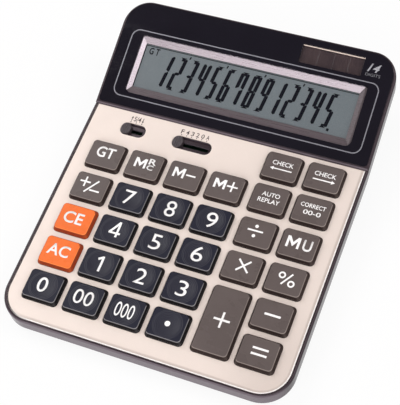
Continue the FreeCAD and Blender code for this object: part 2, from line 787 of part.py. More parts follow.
node("display_case", cut("display_case_bored", cut("display_case_solid", back, gone), group("case_pilots", pilots)))

# Slide switches: a grooved knob in its tray, a stem through the slit, and a foot with a spring wiper
for name, (x, length) in SWITCHES.items():
    rest_x = f"{x} - {length} / 2 + knob_gap + knob_length / 2"
    grip = cornered(name + "_grip", "knob_length", "slot_width - 2 * knob_gap", "-tray_depth", "knob_rise",
                    "knob_corner", "knob_corner")
    grip = rounded(name + "_grip_round", grip, (lies_at("knob_rise"), "knob_round"))
    grooves = [
        box(f"{name}_groove_{index}", "knob_groove", "slot_width", "knob_rise - knob_groove_depth",
            "knob_rise + cutter_reach", f"{index} * knob_groove_pitch")
        for index in (-1, 0, 1)
    ]
    grip = cut(name + "_grooved", grip, group(name + "_grooves", grooves))
    stem = box(name + "_stem", "knob_stem", "knob_stem", "foot_bottom", "knob_rise / 2 - tray_depth / 2")
    foot = box(name + "_foot", "knob_foot", "knob_foot", "foot_bottom", "foot_top")
    knob = fused(name + "_slider", [grip, stem, foot])
    node(name + "_knob", place(knob, rest_x, "switch_y", "0", "keypad"))
    toe = "board_top + wiper_gap"
    wiper = [
        ("-knob_foot / 2", "foot_bottom"),
        ("knob_foot / 2", "foot_bottom"),
        ("knob_foot / 2 - wiper_lean", toe),
        ("knob_foot / 2 - wiper_lean - wiper_toe", toe),
        ("knob_foot / 2 - wiper_lean - wiper_toe", f"{toe} + wiper_sheet"),
        ("knob_foot / 2 - wiper_lean - wiper_sheet", f"{toe} + wiper_sheet"),
        ("knob_foot / 2 - wiper_sheet * 1.5", "foot_bottom - wiper_sheet"),
        ("-knob_foot / 2", "foot_bottom - wiper_sheet"),
    ]
    corners = [FreeCAD.Vector(number(x), 0, number(z)) for x, z in wiper]
    strip = extruded(name + "_strip", corners, "-wiper_width / 2", "wiper_width / 2", (0, 1, 0))
    node(name + "_contact", copy(strip, name + "_wiper", rest_x, "switch_y", "0", "keypad"))

# Rubber sheet: one hollow dome with a carbon pill under each key
arm_back = "field_half_length + sheet_margin"
sheet_back = "1.5 * row_pitch + memory_row_shift + key_length / 2 + sheet_margin"
arm_left = "1.5 * column_pitch + key_block_space / 2 - key_width / 2 - sheet_margin"
right = "field_half_width + sheet_margin"
main = box("sheet_main", f"2 * ({right})", f"{arm_back} + {sheet_back}", "board_top", "sheet_top",
           y=f"({sheet_back} - ({arm_back})) / 2")
arm = box("sheet_arm", f"{right} - ({arm_left})", arm_back, "board_top", "sheet_top",
          f"({right} + {arm_left}) / 2", f"({arm_back}) / 2")
dome = cone("dome", "dome_foot", "dome_top", "sheet_top", "dome_tip")
inside = cut(
    "dome_inside",
    cone("dome_hollow", "dome_foot - dome_wall", "dome_top - dome_wall / 2", "board_top", "dome_tip - dome_wall"),
    rod("pill", "pill_radius", "pill_bottom", "dome_tip"),
)
centres = [(name, column_x(column), row_y(row)) for name, (kind, column, row) in KEYS.items()]
domes = [copy(dome, "dome_" + name, x, y) for name, x, y in centres]
insides = [copy(inside, "inside_" + name, x, y) for name, x, y in centres]
rubber = cut("rubber", fused("domed_sheet", [main, arm] + domes), group("dome_insides", insides))
node("keypad_membrane", place(rubber, frame="keypad"))

# Circuit board: notched round the lower case's front posts, with a sealed chip and a capacitor underneath
board = cornered("board_blank", "2 * board_half_width", "board_front + board_back", "board_bottom", "board_top",
                 "board_corner", "board_corner / 4", "0", "(board_back - board_front) / 2")
notch_y = "(case_post_y - keypad_y + board_bottom * sin(keypad_tilt)) / cos(keypad_tilt)"
gone = [
    rod(f"board_hole_{index}", "board_screw_radius + board_hole_gap", "board_bottom - cutter_reach",
        "board_top + cutter_reach", x, y)
    for index, (x, y) in enumerate(BOARD_SCREWS)
]
for index, (x, y, height) in enumerate(CASE_SCREWS[:3]):
    radius = "lower_post_radius + board_notch_gap"
    end = rod(f"notch_end_{index}", radius, "board_bottom - cutter_reach", "board_top + cutter_reach", x, notch_y)
    way = box(f"notch_way_{index}", f"2 * ({radius})", "board_front", "board_bottom - cutter_reach",
              "board_top + cutter_reach", x, f"{notch_y} - board_front / 2")
    gone.append(fused(f"notch_{index}", [end, way]))
node("main_board", place(cut("board", board, group("board_holes", gone)), frame="keypad"))

blob = rod("blob_rod", "chip_radius", "board_bottom - chip_height", "board_bottom")
blob = rounded("blob", blob, (lies_at("board_bottom - chip_height"), "chip_round"))
node("controller_chip", place(blob, y="chip_y", frame="keypad"))
can = rod("capacitor_rod", "capacitor_radius", "-capacitor_length / 2", "capacitor_length / 2")
can = rounded("capacitor_can", can, (lies_at("-capacitor_length / 2"), "capacitor_round"),
              (lies_at("capacitor_length / 2"), "capacitor_round"))
can = group("capacitor", [place(can, turn="90", axis=(0, 1, 0))])
node("reserve_capacitor", place(can, "capacitor_x", "chip_y", "board_bottom - capacitor_radius", "keypad"))

# Lower case: a wedge-shaped tub whose rim meets the decks, with posts, board rests and a battery chamber
tub_outer = leaning("tub_block", "2 * (tub_half_width - tub_side_lean)", "2 * (tub_half_length - tub_end_lean)",
                    "2 * tub_half_width", "2 * tub_half_length", "base_height", "case_top")
tub_outer = rounded("tub_outer", tub_outer, (front_climbs, "plate_corner + rim_width - skirt_wall - tub_gap"),
                    (climbs, "back_corner - skirt_wall - tub_gap"), (lies_at("base_height"), "base_round"))
tub_inner = leaning("tub_space", "2 * (tub_half_width - tub_side_lean - tub_wall)",
                    "2 * (tub_half_length - tub_end_lean - tub_wall)", "2 * (tub_half_width - tub_wall)",
                    "2 * (tub_half_length - tub_wall)", "floor_top", "case_top")
tub_inner = rounded("tub_inner", tub_inner,
                    (front_climbs, "plate_corner + rim_width - skirt_wall - tub_gap - tub_wall"),
                    (climbs, "back_corner - skirt_wall - tub_gap - tub_wall"))
tub = cut("tub_trimmed", cut("tub_hollow", tub_outer, tub_inner), sky)
inner = [
    rod(f"lower_post_{index}", "lower_post_radius", "base_height", height, x, y)
    for index, (x, y, height) in enumerate(CASE_SCREWS)
]
for side in ("-", ""):
    for index, y in enumerate(("keypad_y", "keypad_y - rest_spacing")):
        top = (f"keypad_height + ({y} - keypad_y) * tan(keypad_tilt) + board_bottom / cos(keypad_tilt)"
               " - rest_gap - rest_radius * tan(keypad_tilt)")
        inner.append(rod(f"rest{side}{index}", "rest_radius", "base_height", top, side + "last_gap_x", y))
inner.append(box("chamber_walls", "2 * (chamber_half_length + chamber_wall)",
                 "2 * (chamber_half_width + chamber_wall)", "base_height", "chamber_top + chamber_wall",
                 y="battery_y"))
inner.append(box("channel_walls", "2 * (cover_half_width + cover_tongue + chamber_wall)",
                 "half_length - cover_front + chamber_wall", "base_height", "floor_top + cover_gap + chamber_wall",
                 y="(half_length + cover_front - chamber_wall) / 2"))
tub = fused("tub_solid", [tub, shared("tub_inside", fused("tub_parts", inner), tub_outer)])
gone = [
    box("chamber", "2 * chamber_half_length", "2 * chamber_half_width", "base_height - cutter_reach", "chamber_top",
        y="battery_y"),
    box("cover_way", "2 * cover_half_width", "half_length", "base_height - cutter_reach", "floor_top",
        y="cover_front + half_length / 2"),
    box("cover_groove", "2 * (cover_half_width + cover_tongue)", "half_length", "floor_top - cover_tongue_height",
        "floor_top + cover_gap", y="cover_front + half_length / 2"),
    rod("chamber_lead_way", "chamber_lead_hole", "0", "2 * (chamber_half_length + lead_reach)"),
]
place(gone[-1], "-chamber_half_length - lead_reach", "battery_y", "battery_z - lead_drop",
      turn="90", axis=(0, 1, 0))
gone = [fused("chamber_space", gone)]
for index, (x, y, height) in enumerate(CASE_SCREWS):
    well = rod(f"screw_well_{index}", "case_head_radius + head_gap", "base_height - cutter_reach",
               f"{height} - post_web", x, y)
    way = rod(f"screw_way_{index}", "case_screw_radius + screw_gap", "base_height",
              f"{height} + cutter_reach", x, y)
    gone.append(fused(f"screw_hole_{index}", [well, way]))
FEET = [
    (f"{side}(tub_half_width - foot_side_inset)", y)
    for side in ("-", "")
    for y in ("foot_front_inset - tub_half_length", "tub_half_length - foot_back_inset")
]
gone += [
    rod(f"foot_seat_{index}", "foot_radius + foot_gap", "base_height - cutter_reach",
        "base_height + foot_sink", x, y)
    for index, (x, y) in enumerate(FEET)
]
node("bottom_case", cut("lower_case", tub, group("tub_holes", gone)))

foot = rod("foot_rod", "foot_radius", "0", "base_height + foot_sink")
foot = rounded("foot", foot, (lies_at("0"), "foot_sink"))
feet = [copy(foot, f"foot_{index}", x, y) for index, (x, y) in enumerate(FEET)]
node("feet", group("foot_set", feet), len(FEET))

# Sliding battery cover: a plate with tongues along its sides and finger ribs underneath
cover = fused("cover_sheets", [
    box("cover_lower", "2 * (cover_half_width - cover_gap)", "half_length - cover_front", "base_height",
        "floor_top - cover_tongue_height / 2", y="cover_gap + (cover_front + half_length) / 2"),
    box("cover_upper", "2 * (cover_half_width - cover_gap + cover_tongue)", "half_length - cover_front",
        "floor_top - cover_tongue_height", "floor_top", y="cover_gap + (cover_front + half_length) / 2"),
])
ribs = [
    box(f"cover_rib_{index}", "cover_rib_length", "cover_rib_width", "base_height - cover_rib",
        "floor_top - cover_rib",
        y=f"tub_half_length - tub_end_lean - cover_rib_inset - {index} * cover_rib_pitch")
    for index in range(5)
]
node("battery_cover", fused("cover", [shared("cover_trimmed", cover, tub_outer)] + ribs))

# Battery, lying along X between a spring and a plate
body = rounded("battery_can", rod("battery_rod", "battery_radius", "0", "battery_length"),
               (lies_at("0"), "battery_round"), (lies_at("battery_length"), "battery_round"))
nub = rod("battery_nub", "battery_nub_radius", "battery_length - battery_nub_length",
          "battery_length + battery_nub_length")
battery = place(fused("cell_and_nub", [body, nub]), "spring_length + contact_thickness - chamber_half_length",
                "battery_y", "battery_z", turn="90", axis=(0, 1, 0))
node("battery", battery)
for name, side in (("negative_contact", "-"), ("positive_contact", "")):
    node(name, box(name + "_sheet", "contact_thickness", "contact_size", "battery_z - contact_size / 2",
                   "battery_z + contact_size / 2", f"{side}(chamber_half_length - contact_thickness / 2)",
                   "battery_y"))
coil = document.addObject("Part::Feature", "coil")
height = number("spring_length - 2 * spring_wire")
helix = Part.makeHelix(height / number("spring_turns"), height, number("spring_radius"))
start = helix.Edges[0].valueAt(helix.Edges[0].FirstParameter)
along = helix.Edges[0].tangentAt(helix.Edges[0].FirstParameter)
section = Part.Wire(Part.makeCircle(number("spring_wire"), start, along))
coil.Shape = Part.Wire(helix.Edges).makePipeShell([section], True, True)
node("battery_spring", place(group("spring", [coil]), "contact_thickness + spring_wire - chamber_half_length",
                             "battery_y", "battery_z", turn="90", axis=(0, 1, 0)))

# Leads up to the board's underside, from the battery contacts and from the solar cell
landing_y = "board_back - lead_reach"
seat = FreeCAD.Vector(0, 0, number("lead_radius * tan(keypad_tilt)"))
low = number("battery_z - lead_drop")
leads = []
for side in ("-", ""):
    out_x = f"{side}(chamber_half_length + lead_reach)"
    landing = spot("keypad", out_x, landing_y, "board_bottom") - seat
    leads.append(cable(f"battery_lead_{len(leads)}", [
        FreeCAD.Vector(number(f"{side}chamber_half_length"), number("battery_y"), low),
        FreeCAD.Vector(number(out_x), number("battery_y"), low),
        FreeCAD.Vector(number(out_x), landing.y, low),
        landing,
    ]))
node("battery_leads", group("battery_lead_pair", leads), 2)
leads = []
for side in ("-", "+"):
    x = f"solar_x {side} lead_spacing"
    landing = spot("keypad", x, landing_y, "board_bottom") - seat
    under = spot("display", x, "solar_y", "-skirt_depth")
    leads.append(cable(f"solar_lead_{len(leads)}", [
        spot("display", x, "solar_y", "solar_bottom"),
        under,
        FreeCAD.Vector(under.x, under.y - number("skirt_depth"), low),
        FreeCAD.Vector(under.x, landing.y, low),
        landing,
    ]))
node("solar_leads", group("solar_lead_pair", leads), 2)

# Screws: head down, with a cross recess
def screw(name, head_radius, head_height, shank_radius, shank_length):
    """A pan-head screw; its origin is where the head's top meets the work."""
    head = rod(name + "_head_rod", head_radius, f"-{head_height}", "0")
    head = rounded(name + "_head", head, (lies_at(f"-{head_height}"), f"{head_height} / 3"))
    shank = rod(name + "_shank", shank_radius, f"-{head_height} / 3", shank_length)
    cross = [
        box(f"{name}_cross_{index}", sizes[0], sizes[1], f"-{head_height} - cutter_reach", f"-{head_height} / 2")
        for index, sizes in enumerate(((head_radius, "cross_width"), ("cross_width", head_radius)))
    ]
    return cut(name, fused(name + "_solid", [head, shank]), fused(name + "_recess", cross))


case_screw = screw("case_screw", "case_head_radius", "case_head_height", "case_screw_radius",
                   "post_web + case_screw_grip")
node("case_screws", group("case_screw_set", [
    copy(case_screw, f"case_screw_{index}", x, y, f"{height} - post_web")
    for index, (x, y, height) in enumerate(CASE_SCREWS)
]), len(CASE_SCREWS))
small_screw = screw("small_screw", "board_head_radius", "board_head_height", "board_screw_radius",
                    "board_screw_length")
small_screws = [
    copy(small_screw, f"board_screw_{index}", x, y, "board_bottom", "keypad")
    for index, (x, y) in enumerate(BOARD_SCREWS)
]
small_screws += [
    copy(small_screw, f"holder_screw_{index}", x, y, "holder_bottom", "display")
    for index, (x, y) in enumerate(HOLDER_SCREWS)
]
node("board_screws", group("board_screw_set", small_screws), len(small_screws))

document.recompute()
failed = [thing.Name for thing in document.Objects if {"Invalid", "Error"} & set(thing.State)]
if failed:
    raise RuntimeError(f"not built: {failed}")
for name, (thing, solids) in NODES.items():
    if thing.Shape.isNull() or not thing.Shape.isValid() or len(thing.Shape.Solids) != solids:
        raise RuntimeError(f"{name} is not {solids} sound solid(s)")
os.makedirs("parts", exist_ok=True)
for name, (thing, solids) in NODES.items():
    shape = thing.Shape if solids > 1 else thing.Shape.Solids[0]
    shape.exportStep(f"parts/{name}.step")
print(f"{len(NODES)} pieces")
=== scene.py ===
import math

import bmesh
import bpy
from mathutils import Matrix, Vector


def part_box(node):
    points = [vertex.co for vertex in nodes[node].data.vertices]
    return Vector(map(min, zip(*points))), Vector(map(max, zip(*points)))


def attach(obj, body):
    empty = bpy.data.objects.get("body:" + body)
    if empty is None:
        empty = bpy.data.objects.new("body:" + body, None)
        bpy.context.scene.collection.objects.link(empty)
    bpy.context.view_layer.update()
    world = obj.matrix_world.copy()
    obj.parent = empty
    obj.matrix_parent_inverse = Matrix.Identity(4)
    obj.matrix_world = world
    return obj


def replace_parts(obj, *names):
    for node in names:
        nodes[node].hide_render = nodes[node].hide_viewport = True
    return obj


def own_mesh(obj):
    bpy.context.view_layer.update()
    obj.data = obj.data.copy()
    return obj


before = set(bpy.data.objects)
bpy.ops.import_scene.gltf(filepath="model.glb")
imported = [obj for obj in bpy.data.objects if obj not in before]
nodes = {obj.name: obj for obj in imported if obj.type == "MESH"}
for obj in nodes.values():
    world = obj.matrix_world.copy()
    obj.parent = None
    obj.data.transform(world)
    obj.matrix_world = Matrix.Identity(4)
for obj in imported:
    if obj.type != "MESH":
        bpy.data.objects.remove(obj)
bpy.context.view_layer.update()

MM = 0.001


# ---- Case -------------------------------------------------------------------------
# Three mouldings in glossy black-brown ABS: the keypad's and the display's halves of
# the top meet under the lens, and the base closes them from below with five screws.
# The mould leaves a very fine grain, and handling dulls it in patches.
def feed(tree, sockets, values):
    """Sets named sockets, or links what feeds them. A colour is three numbers."""
    for name, value in values.items():
        socket = sockets[name]
        if isinstance(value, bpy.types.NodeSocket):
            tree.links.new(value, socket)
        else:
            socket.default_value = (*value, 1) if socket.type == "RGBA" else value


def put(tree, kind, inputs=None, **settings):
    """Puts one node into a material, with its settings and what feeds it."""
    node = tree.nodes.new(kind)
    for name, value in settings.items():
        setattr(node, name, value)
    feed(tree, node.inputs, inputs or {})
    return node


def maths(tree, operation, first, second=0.0, third=0.0, clamp=False):
    return put(tree, "ShaderNodeMath", {0: first, 1: second, 2: third}, operation=operation,
               use_clamp=clamp).outputs[0]


def dot(tree, first, second):
    return put(tree, "ShaderNodeVectorMath", {0: first, 1: second}, operation="DOT_PRODUCT").outputs["Value"]


def between(tree, value, low, high, to_low=0.0, to_high=1.0):
    """A smooth step from one value to another while the input goes from low to high."""
    return put(tree, "ShaderNodeMapRange", {"Value": value, "From Min": low, "From Max": high, "To Min": to_low,
                                            "To Max": to_high}, interpolation_type="SMOOTHSTEP").outputs["Result"]


def varied(tree, cloud, least=0.0, most=1.0):
    """Spreads a noise, which lies mostly between 0.3 and 0.7, over a range of values."""
    return between(tree, cloud, 0.3, 0.7, least, most)


def blend_colours(tree, amount, first, second):
    return put(tree, "ShaderNodeMix", {"Factor": amount, 6: first, 7: second}, data_type="RGBA").outputs[2]


def lighten(tree, colour, amount):
    return put(tree, "ShaderNodeHueSaturation", {"Value": amount, "Color": colour}).outputs[0]


def millimetres(tree):
    """The point on the piece in millimetres."""
    place = put(tree, "ShaderNodeTexCoord").outputs["Object"]
    return put(tree, "ShaderNodeVectorMath", {0: place, "Scale": 1000.0}, operation="SCALE").outputs[0]


def noise(tree, where, scale, detail=2.0, roughness=0.5):
    return put(tree, "ShaderNodeTexNoise", {"Vector": where, "Scale": scale, "Detail": detail,
                                            "Roughness": roughness}).outputs["Fac"]


def edge_turn(tree, width):
    """How well the surface agrees with a rounding of its edges: 1 on a flat, less at an edge."""
    rounded = put(tree, "ShaderNodeBevel", {"Radius": maths(tree, "MULTIPLY", width, MM)}, samples=4).outputs[0]
    return dot(tree, rounded, put(tree, "ShaderNodeNewGeometry").outputs["Normal"])


def effect(name, inputs, outputs):
    """An empty node group for an effect that several materials share."""
    tree = bpy.data.node_groups.new(name, "ShaderNodeTree")
    for title, value in inputs.items():
        colour = isinstance(value, tuple)
        socket = tree.interface.new_socket(title, in_out="INPUT",
                                           socket_type="NodeSocketColor" if colour else "NodeSocketFloat")
        socket.default_value = (*value, 1) if colour else value
    for title, kind in outputs.items():
        tree.interface.new_socket(title, in_out="OUTPUT", socket_type="NodeSocket" + kind)
    return tree, put(tree, "NodeGroupInput").outputs, put(tree, "NodeGroupOutput").inputs


# Moulded plastic: cloudy sheen, mould grain, and rubbed edges that go lighter and smoother
moulded_plastic, given, made = effect(
    "moulded_plastic",
    {"Colour": (0.5, 0.5, 0.5), "Edge Colour": (0.6, 0.6, 0.6), "Roughness": 0.3, "Grain Size": 0.4,
     "Grain Depth": 0.004, "Edge Width": 0.3, "Edge Wear": 0.5},
    {"Colour": "Color", "Roughness": "Float", "Height": "Float"})
tree = moulded_plastic
mm = millimetres(tree)
cloud = noise(tree, mm, scale=0.045, detail=4.0, roughness=0.6)
grain = noise(tree, mm, maths(tree, "DIVIDE", 1.0, given["Grain Size"]))
patchy = between(tree, noise(tree, mm, scale=0.35, detail=3.0), 0.38, 0.62, 0.35, 1.0)
worn = maths(tree, "MULTIPLY", between(tree, edge_turn(tree, given["Edge Width"]), 0.995, 0.86), patchy)
worn = maths(tree, "MULTIPLY", worn, given["Edge Wear"], clamp=True)
rough = maths(tree, "ADD", given["Roughness"], varied(tree, cloud, -0.03, 0.05))
feed(tree, made, {
    "Colour": blend_colours(tree, worn, lighten(tree, given["Colour"], varied(tree, cloud, 0.94, 1.06)),
                            given["Edge Colour"]),
    "Roughness": maths(tree, "MULTIPLY_ADD", worn, -0.06, rough, clamp=True),
    "Height": maths(tree, "MULTIPLY", grain, given["Grain Depth"])})

# Handling: soft fingermarks and hairline scratches, both as masks
handling, given, made = effect("handling", {"Marks": 0.5, "Scratches": 0.5}, {"Marks": "Float", "Scratches": "Float"})
tree = handling
mm = millimetres(tree)
wiped, scraped = (put(tree, "ShaderNodeMapping", {"Vector": mm, "Rotation": (0, 0, turn), "Scale": scale}).outputs[0]
                  for turn, scale in ((0.6, (0.05, 0.12, 0.1)), (0.35, (0.03, 0.5, 0.5))))
smear = noise(tree, wiped, scale=1.0, detail=4.0, roughness=0.65)
line = put(tree, "ShaderNodeTexVoronoi", {"Vector": scraped, "Scale": 1.0},
           feature="DISTANCE_TO_EDGE").outputs["Distance"]
few = between(tree, noise(tree, mm, scale=0.06), 0.5, 0.62)
scratch = maths(tree, "MULTIPLY", between(tree, line, 0.012, 0.0), few)
feed(tree, made, {
    "Marks": maths(tree, "MULTIPLY", between(tree, smear, 0.45, 0.75), given["Marks"]),
    "Scratches": maths(tree, "MULTIPLY", scratch, given["Scratches"])})


def use(tree, group, values):
    """Places a shared effect in a material with its own values."""
    return put(tree, "ShaderNodeGroup", values, node_tree=group).outputs


def finish_named(name):
    """A new material, its tree and the inputs of its Principled shader."""
    material = bpy.data.materials.new(name)
    material.use_nodes = True
    return material, material.node_tree, material.node_tree.nodes["Principled BSDF"].inputs


def bumpy(tree, height):
    """The normal for a height in millimetres."""
    return put(tree, "ShaderNodeBump", {"Height": height, "Distance": MM}).outputs[0]


def lay_on(tree, shader, skin, marks, scratches, **plain):
    """Gives a shader its skin, with fingermarks in the sheen and scratches in the surface."""
    touched = use(tree, handling, {"Marks": marks, "Scratches": scratches})
    feed(tree, shader, {
        "Base Color": skin["Colour"],
        "Roughness": maths(tree, "ADD", skin["Roughness"], touched["Marks"], clamp=True),
        "Normal": bumpy(tree, maths(tree, "SUBTRACT", skin["Height"], touched["Scratches"])), **plain})


def plastic(name, colour, edge, roughness, grain_size, grain_depth, wear=0.4, edge_width=0.3, marks=0.15, **plain):
    """A moulded plastic with its mould grain, rubbed edges and fingermarks."""
    material, tree, shader = finish_named(name)
    skin = use(tree, moulded_plastic, {"Colour": colour, "Edge Colour": edge, "Roughness": roughness,
                                       "Grain Size": grain_size, "Grain Depth": grain_depth, "Edge Wear": wear,
                                       "Edge Width": edge_width})
    lay_on(tree, shader, skin, marks, scratches=0.004, **plain)
    return material


def dress(material, *names):
    """Gives solids of the model their finish."""
    for name in names:
        slots = nodes[name].data.materials
        slots.clear()
        slots.append(material)


TOWARDS_USER = (0, -1, 0)


def paint_near_wall_reflection(material, colour):
    """Paints a reflection of the bright table into the colour of the walls towards the user, paler and a little violet.
    """
    tree = material.node_tree
    skin = tree.nodes["Principled BSDF"].inputs["Base Color"]
    nearer = dot(tree, put(tree, "ShaderNodeNewGeometry").outputs["True Normal"], TOWARDS_USER)
    painted_reflection = blend_colours(tree, between(tree, nearer, 0.25, 0.85), skin.links[0].from_socket, colour)
    tree.links.new(painted_reflection, skin)


case_black = plastic("case_black_brown", (0.033, 0.0235, 0.0285), (0.075, 0.06, 0.066), roughness=0.1, grain_size=0.5,
                     grain_depth=0.0012, wear=0.5, edge_width=0.5, marks=0.05,
                     **{"Specular IOR Level": 0.22, "Specular Tint": (1.0, 0.84, 0.91)})
dress(case_black, "keypad_case", "display_case")
# Painted reflection: the case's walls towards the user are coloured paler, as if they mirrored the table
paint_near_wall_reflection(case_black, (0.14, 0.115, 0.135))
base_black = plastic("base_fine_grained", (0.033, 0.026, 0.031), (0.06, 0.055, 0.058), roughness=0.42, grain_size=0.7,
                     grain_depth=0.02)
# Painted reflection: the base's walls towards the user are coloured paler, as if they mirrored the table
paint_near_wall_reflection(base_black, (0.2, 0.18, 0.21))
dress(base_black, "bottom_case")


# ---- Plate ------------------------------------------------------------------------
# A thin aluminium plate, satin and anodised champagne, glued into the keypad's recess.
# It has a punched opening for each key and two for the switches; its cut edge has a painted bright highlight.
KEYPAD_LEAN = math.radians(4)
KEYPAD = Matrix.Translation((0, -24.901 * MM, 16.0 * MM)) @ Matrix.Rotation(KEYPAD_LEAN, 4, "X")

# Drawn metal: fine lines along X, a faintly cloudy colour and a bright cut edge
drawn_metal, given, made = effect(
    "drawn_metal",
    {"Colour": (0.8, 0.8, 0.8), "Edge Colour": (1, 1, 1), "Roughness": 0.35, "Line Length": 30.0,
     "Line Width": 0.15, "Line Depth": 0.002, "Edge Width": 0.25},
    {"Colour": "Color", "Roughness": "Float", "Height": "Float"})
tree = drawn_metal
mm = millimetres(tree)
along, across = (maths(tree, "DIVIDE", 1.0, given[size]) for size in ("Line Length", "Line Width"))
fineness = put(tree, "ShaderNodeCombineXYZ", {"X": along, "Y": across, "Z": 1.0}).outputs[0]
lines = noise(tree, put(tree, "ShaderNodeVectorMath", {0: mm, 1: fineness}, operation="MULTIPLY").outputs[0], scale=1.0)
edge = between(tree, edge_turn(tree, given["Edge Width"]), 0.995, 0.9)
cloudy = varied(tree, noise(tree, mm, scale=0.03, detail=4.0, roughness=0.55), 0.975, 1.02)
speckled = varied(tree, noise(tree, mm, scale=3.5, detail=1.0), -0.012, 0.012)
tint = lighten(tree, given["Colour"], maths(tree, "ADD", cloudy, speckled))
rough = maths(tree, "ADD", given["Roughness"], varied(tree, lines, -0.04, 0.04))
feed(tree, made, {
    "Colour": blend_colours(tree, edge, tint, given["Edge Colour"]),
    "Roughness": maths(tree, "MULTIPLY_ADD", edge, -0.12, rough, clamp=True),
    "Height": maths(tree, "MULTIPLY", lines, given["Line Depth"])})


def metal(name, colour, edge, roughness, line_length=30.0, line_width=0.15, line_depth=0.002, **plain):
    """A drawn or plated metal with fine lines, a bright cut edge and a few marks."""
    material, tree, shader = finish_named(name)
    skin = use(tree, drawn_metal, {"Colour": colour, "Edge Colour": edge, "Roughness": roughness,
                                   "Line Length": line_length, "Line Width": line_width, "Line Depth": line_depth})
    lay_on(tree, shader, skin, marks=0.08, scratches=0.003, **{"Metallic": 1.0, **plain})
    return material


def parts(tree, vector):
    """The X, Y and Z of a vector."""
    return put(tree, "ShaderNodeSeparateXYZ", {"Vector": vector}).outputs


def reach(tree, u, v):
    """How long the way is that goes u one way and v across it."""
    corner = put(tree, "ShaderNodeCombineXYZ", {"X": u, "Y": v}).outputs[0]
    return put(tree, "ShaderNodeVectorMath", {0: corner}, operation="LENGTH").outputs["Value"]


champagne, tree, shader = finish_named("champagne_anodised")
spot = parts(tree, millimetres(tree))
# How far a point lies inside the plate's outer edge, round its two near corners too
PLATE_HALF, PLATE_NEAR, PLATE_CORNER = 74.9, 92.19, 15.0
beyond = (maths(tree, "MAXIMUM", maths(tree, "SUBTRACT", out, edge - PLATE_CORNER), 0.0) for out, edge in (
    (maths(tree, "ABSOLUTE", spot["X"]), PLATE_HALF), (maths(tree, "MULTIPLY", spot["Y"], -1.0), PLATE_NEAR)))
inside = maths(tree, "SUBTRACT", PLATE_CORNER, reach(tree, *beyond))
# Painted shade: a darker band rolls down to the edge, and the near right corner is darker too. The cut
# edge gets a painted bright highlight, but along the left a painted dark shadow of the gap shows in its place.
CHAMPAGNE, PAINTED_SHADE = (0.81, 0.713, 0.65), (0.32, 0.25, 0.22)
EDGE_GLINT, GAP_SHADOW = (1.0, 0.98, 0.96), (0.03, 0.022, 0.026)
right = between(tree, spot["X"], -72.0, -55.0)
rolled_shade = maths(tree, "MULTIPLY", between(tree, inside, 2.4, 1.2), between(tree, inside, 0.5, 0.8, 0.0, 0.45))
rolled_shade = maths(tree, "MULTIPLY", rolled_shade, right)
# Painted shade on the near right corner
corner = maths(tree, "MULTIPLY", between(tree, spot["X"], 30.0, 72.0),
               between(tree, spot["Y"], -30.0, -85.0, 0.0, 0.22))
colour = blend_colours(tree, maths(tree, "MAXIMUM", rolled_shade, corner), CHAMPAGNE, PAINTED_SHADE)
colour = blend_colours(tree, between(tree, inside, 0.75, 0.5), colour,
                       blend_colours(tree, right, GAP_SHADOW, EDGE_GLINT))
# The edge colour, a little darker than the champagne, is painted shade round the key openings
skin = use(tree, drawn_metal, {
    "Colour": colour, "Roughness": 0.5, "Line Length": 40.0, "Line Width": 0.12, "Line Depth": 0.0012,
    "Edge Colour": (0.76, 0.64, 0.57), "Edge Width": 0.4})
lay_on(tree, shader, skin, marks=0.08, scratches=0.003, Metallic=0.3)
dress(champagne, "faceplate")


# ---- Switch scales ----------------------------------------------------------------
# Small grey-brown figures and ticks, screen printed on the plate beyond the switches.
# They name the rounding and the number of decimals.
def mesh_of(curve):
    """The flat mesh that fills a word or an outline."""
    thing = bpy.data.objects.new(curve.name, curve)
    mesh = bpy.data.meshes.new_from_object(thing)
    bpy.data.objects.remove(thing)
    bpy.data.curves.remove(curve)
    return mesh


def word(text, left, right, low, high, weight=0.0, slant=0.0):
    """A word fitted into its printed box, in millimetres."""
    curve = bpy.data.curves.new("word", "FONT")
    curve.body = text
    curve.offset = weight
    curve.shear = slant
    curve.resolution_u = 5
    mesh = mesh_of(curve)
    xs, ys = [v.co.x for v in mesh.vertices], [v.co.y for v in mesh.vertices]
    wide, tall = max(xs) - min(xs), max(ys) - min(ys)
    mesh.transform(Matrix.Translation((left, low, 0)) @ Matrix.Diagonal(
        ((right - left) / wide, (high - low) / tall, 1, 1)) @ Matrix.Translation((-min(xs), -min(ys), 0)))
    return mesh


def outline(*loops):
    """A flat shape inside closed lines; a line inside another is a hole."""
    curve = bpy.data.curves.new("outline", "CURVE")
    curve.dimensions, curve.fill_mode = "2D", "BOTH"
    for loop in loops:
        spline = curve.splines.new("POLY")
        spline.points.add(len(loop) - 1)
        for point, (u, v) in zip(spline.points, loop):
            point.co = (u, v, 0, 1)
        spline.use_cyclic_u = True
    return mesh_of(curve)


def bar(u0, v0, u1, v1, width):
    """A stroke with square ends."""
    long = Vector((u1 - u0, v1 - v0)).normalized() * width / 2
    u, v = -long.y, long.x
    return outline([(u0 + u, v0 + v), (u0 - u, v0 - v), (u1 - u, v1 - v), (u1 + u, v1 + v)])


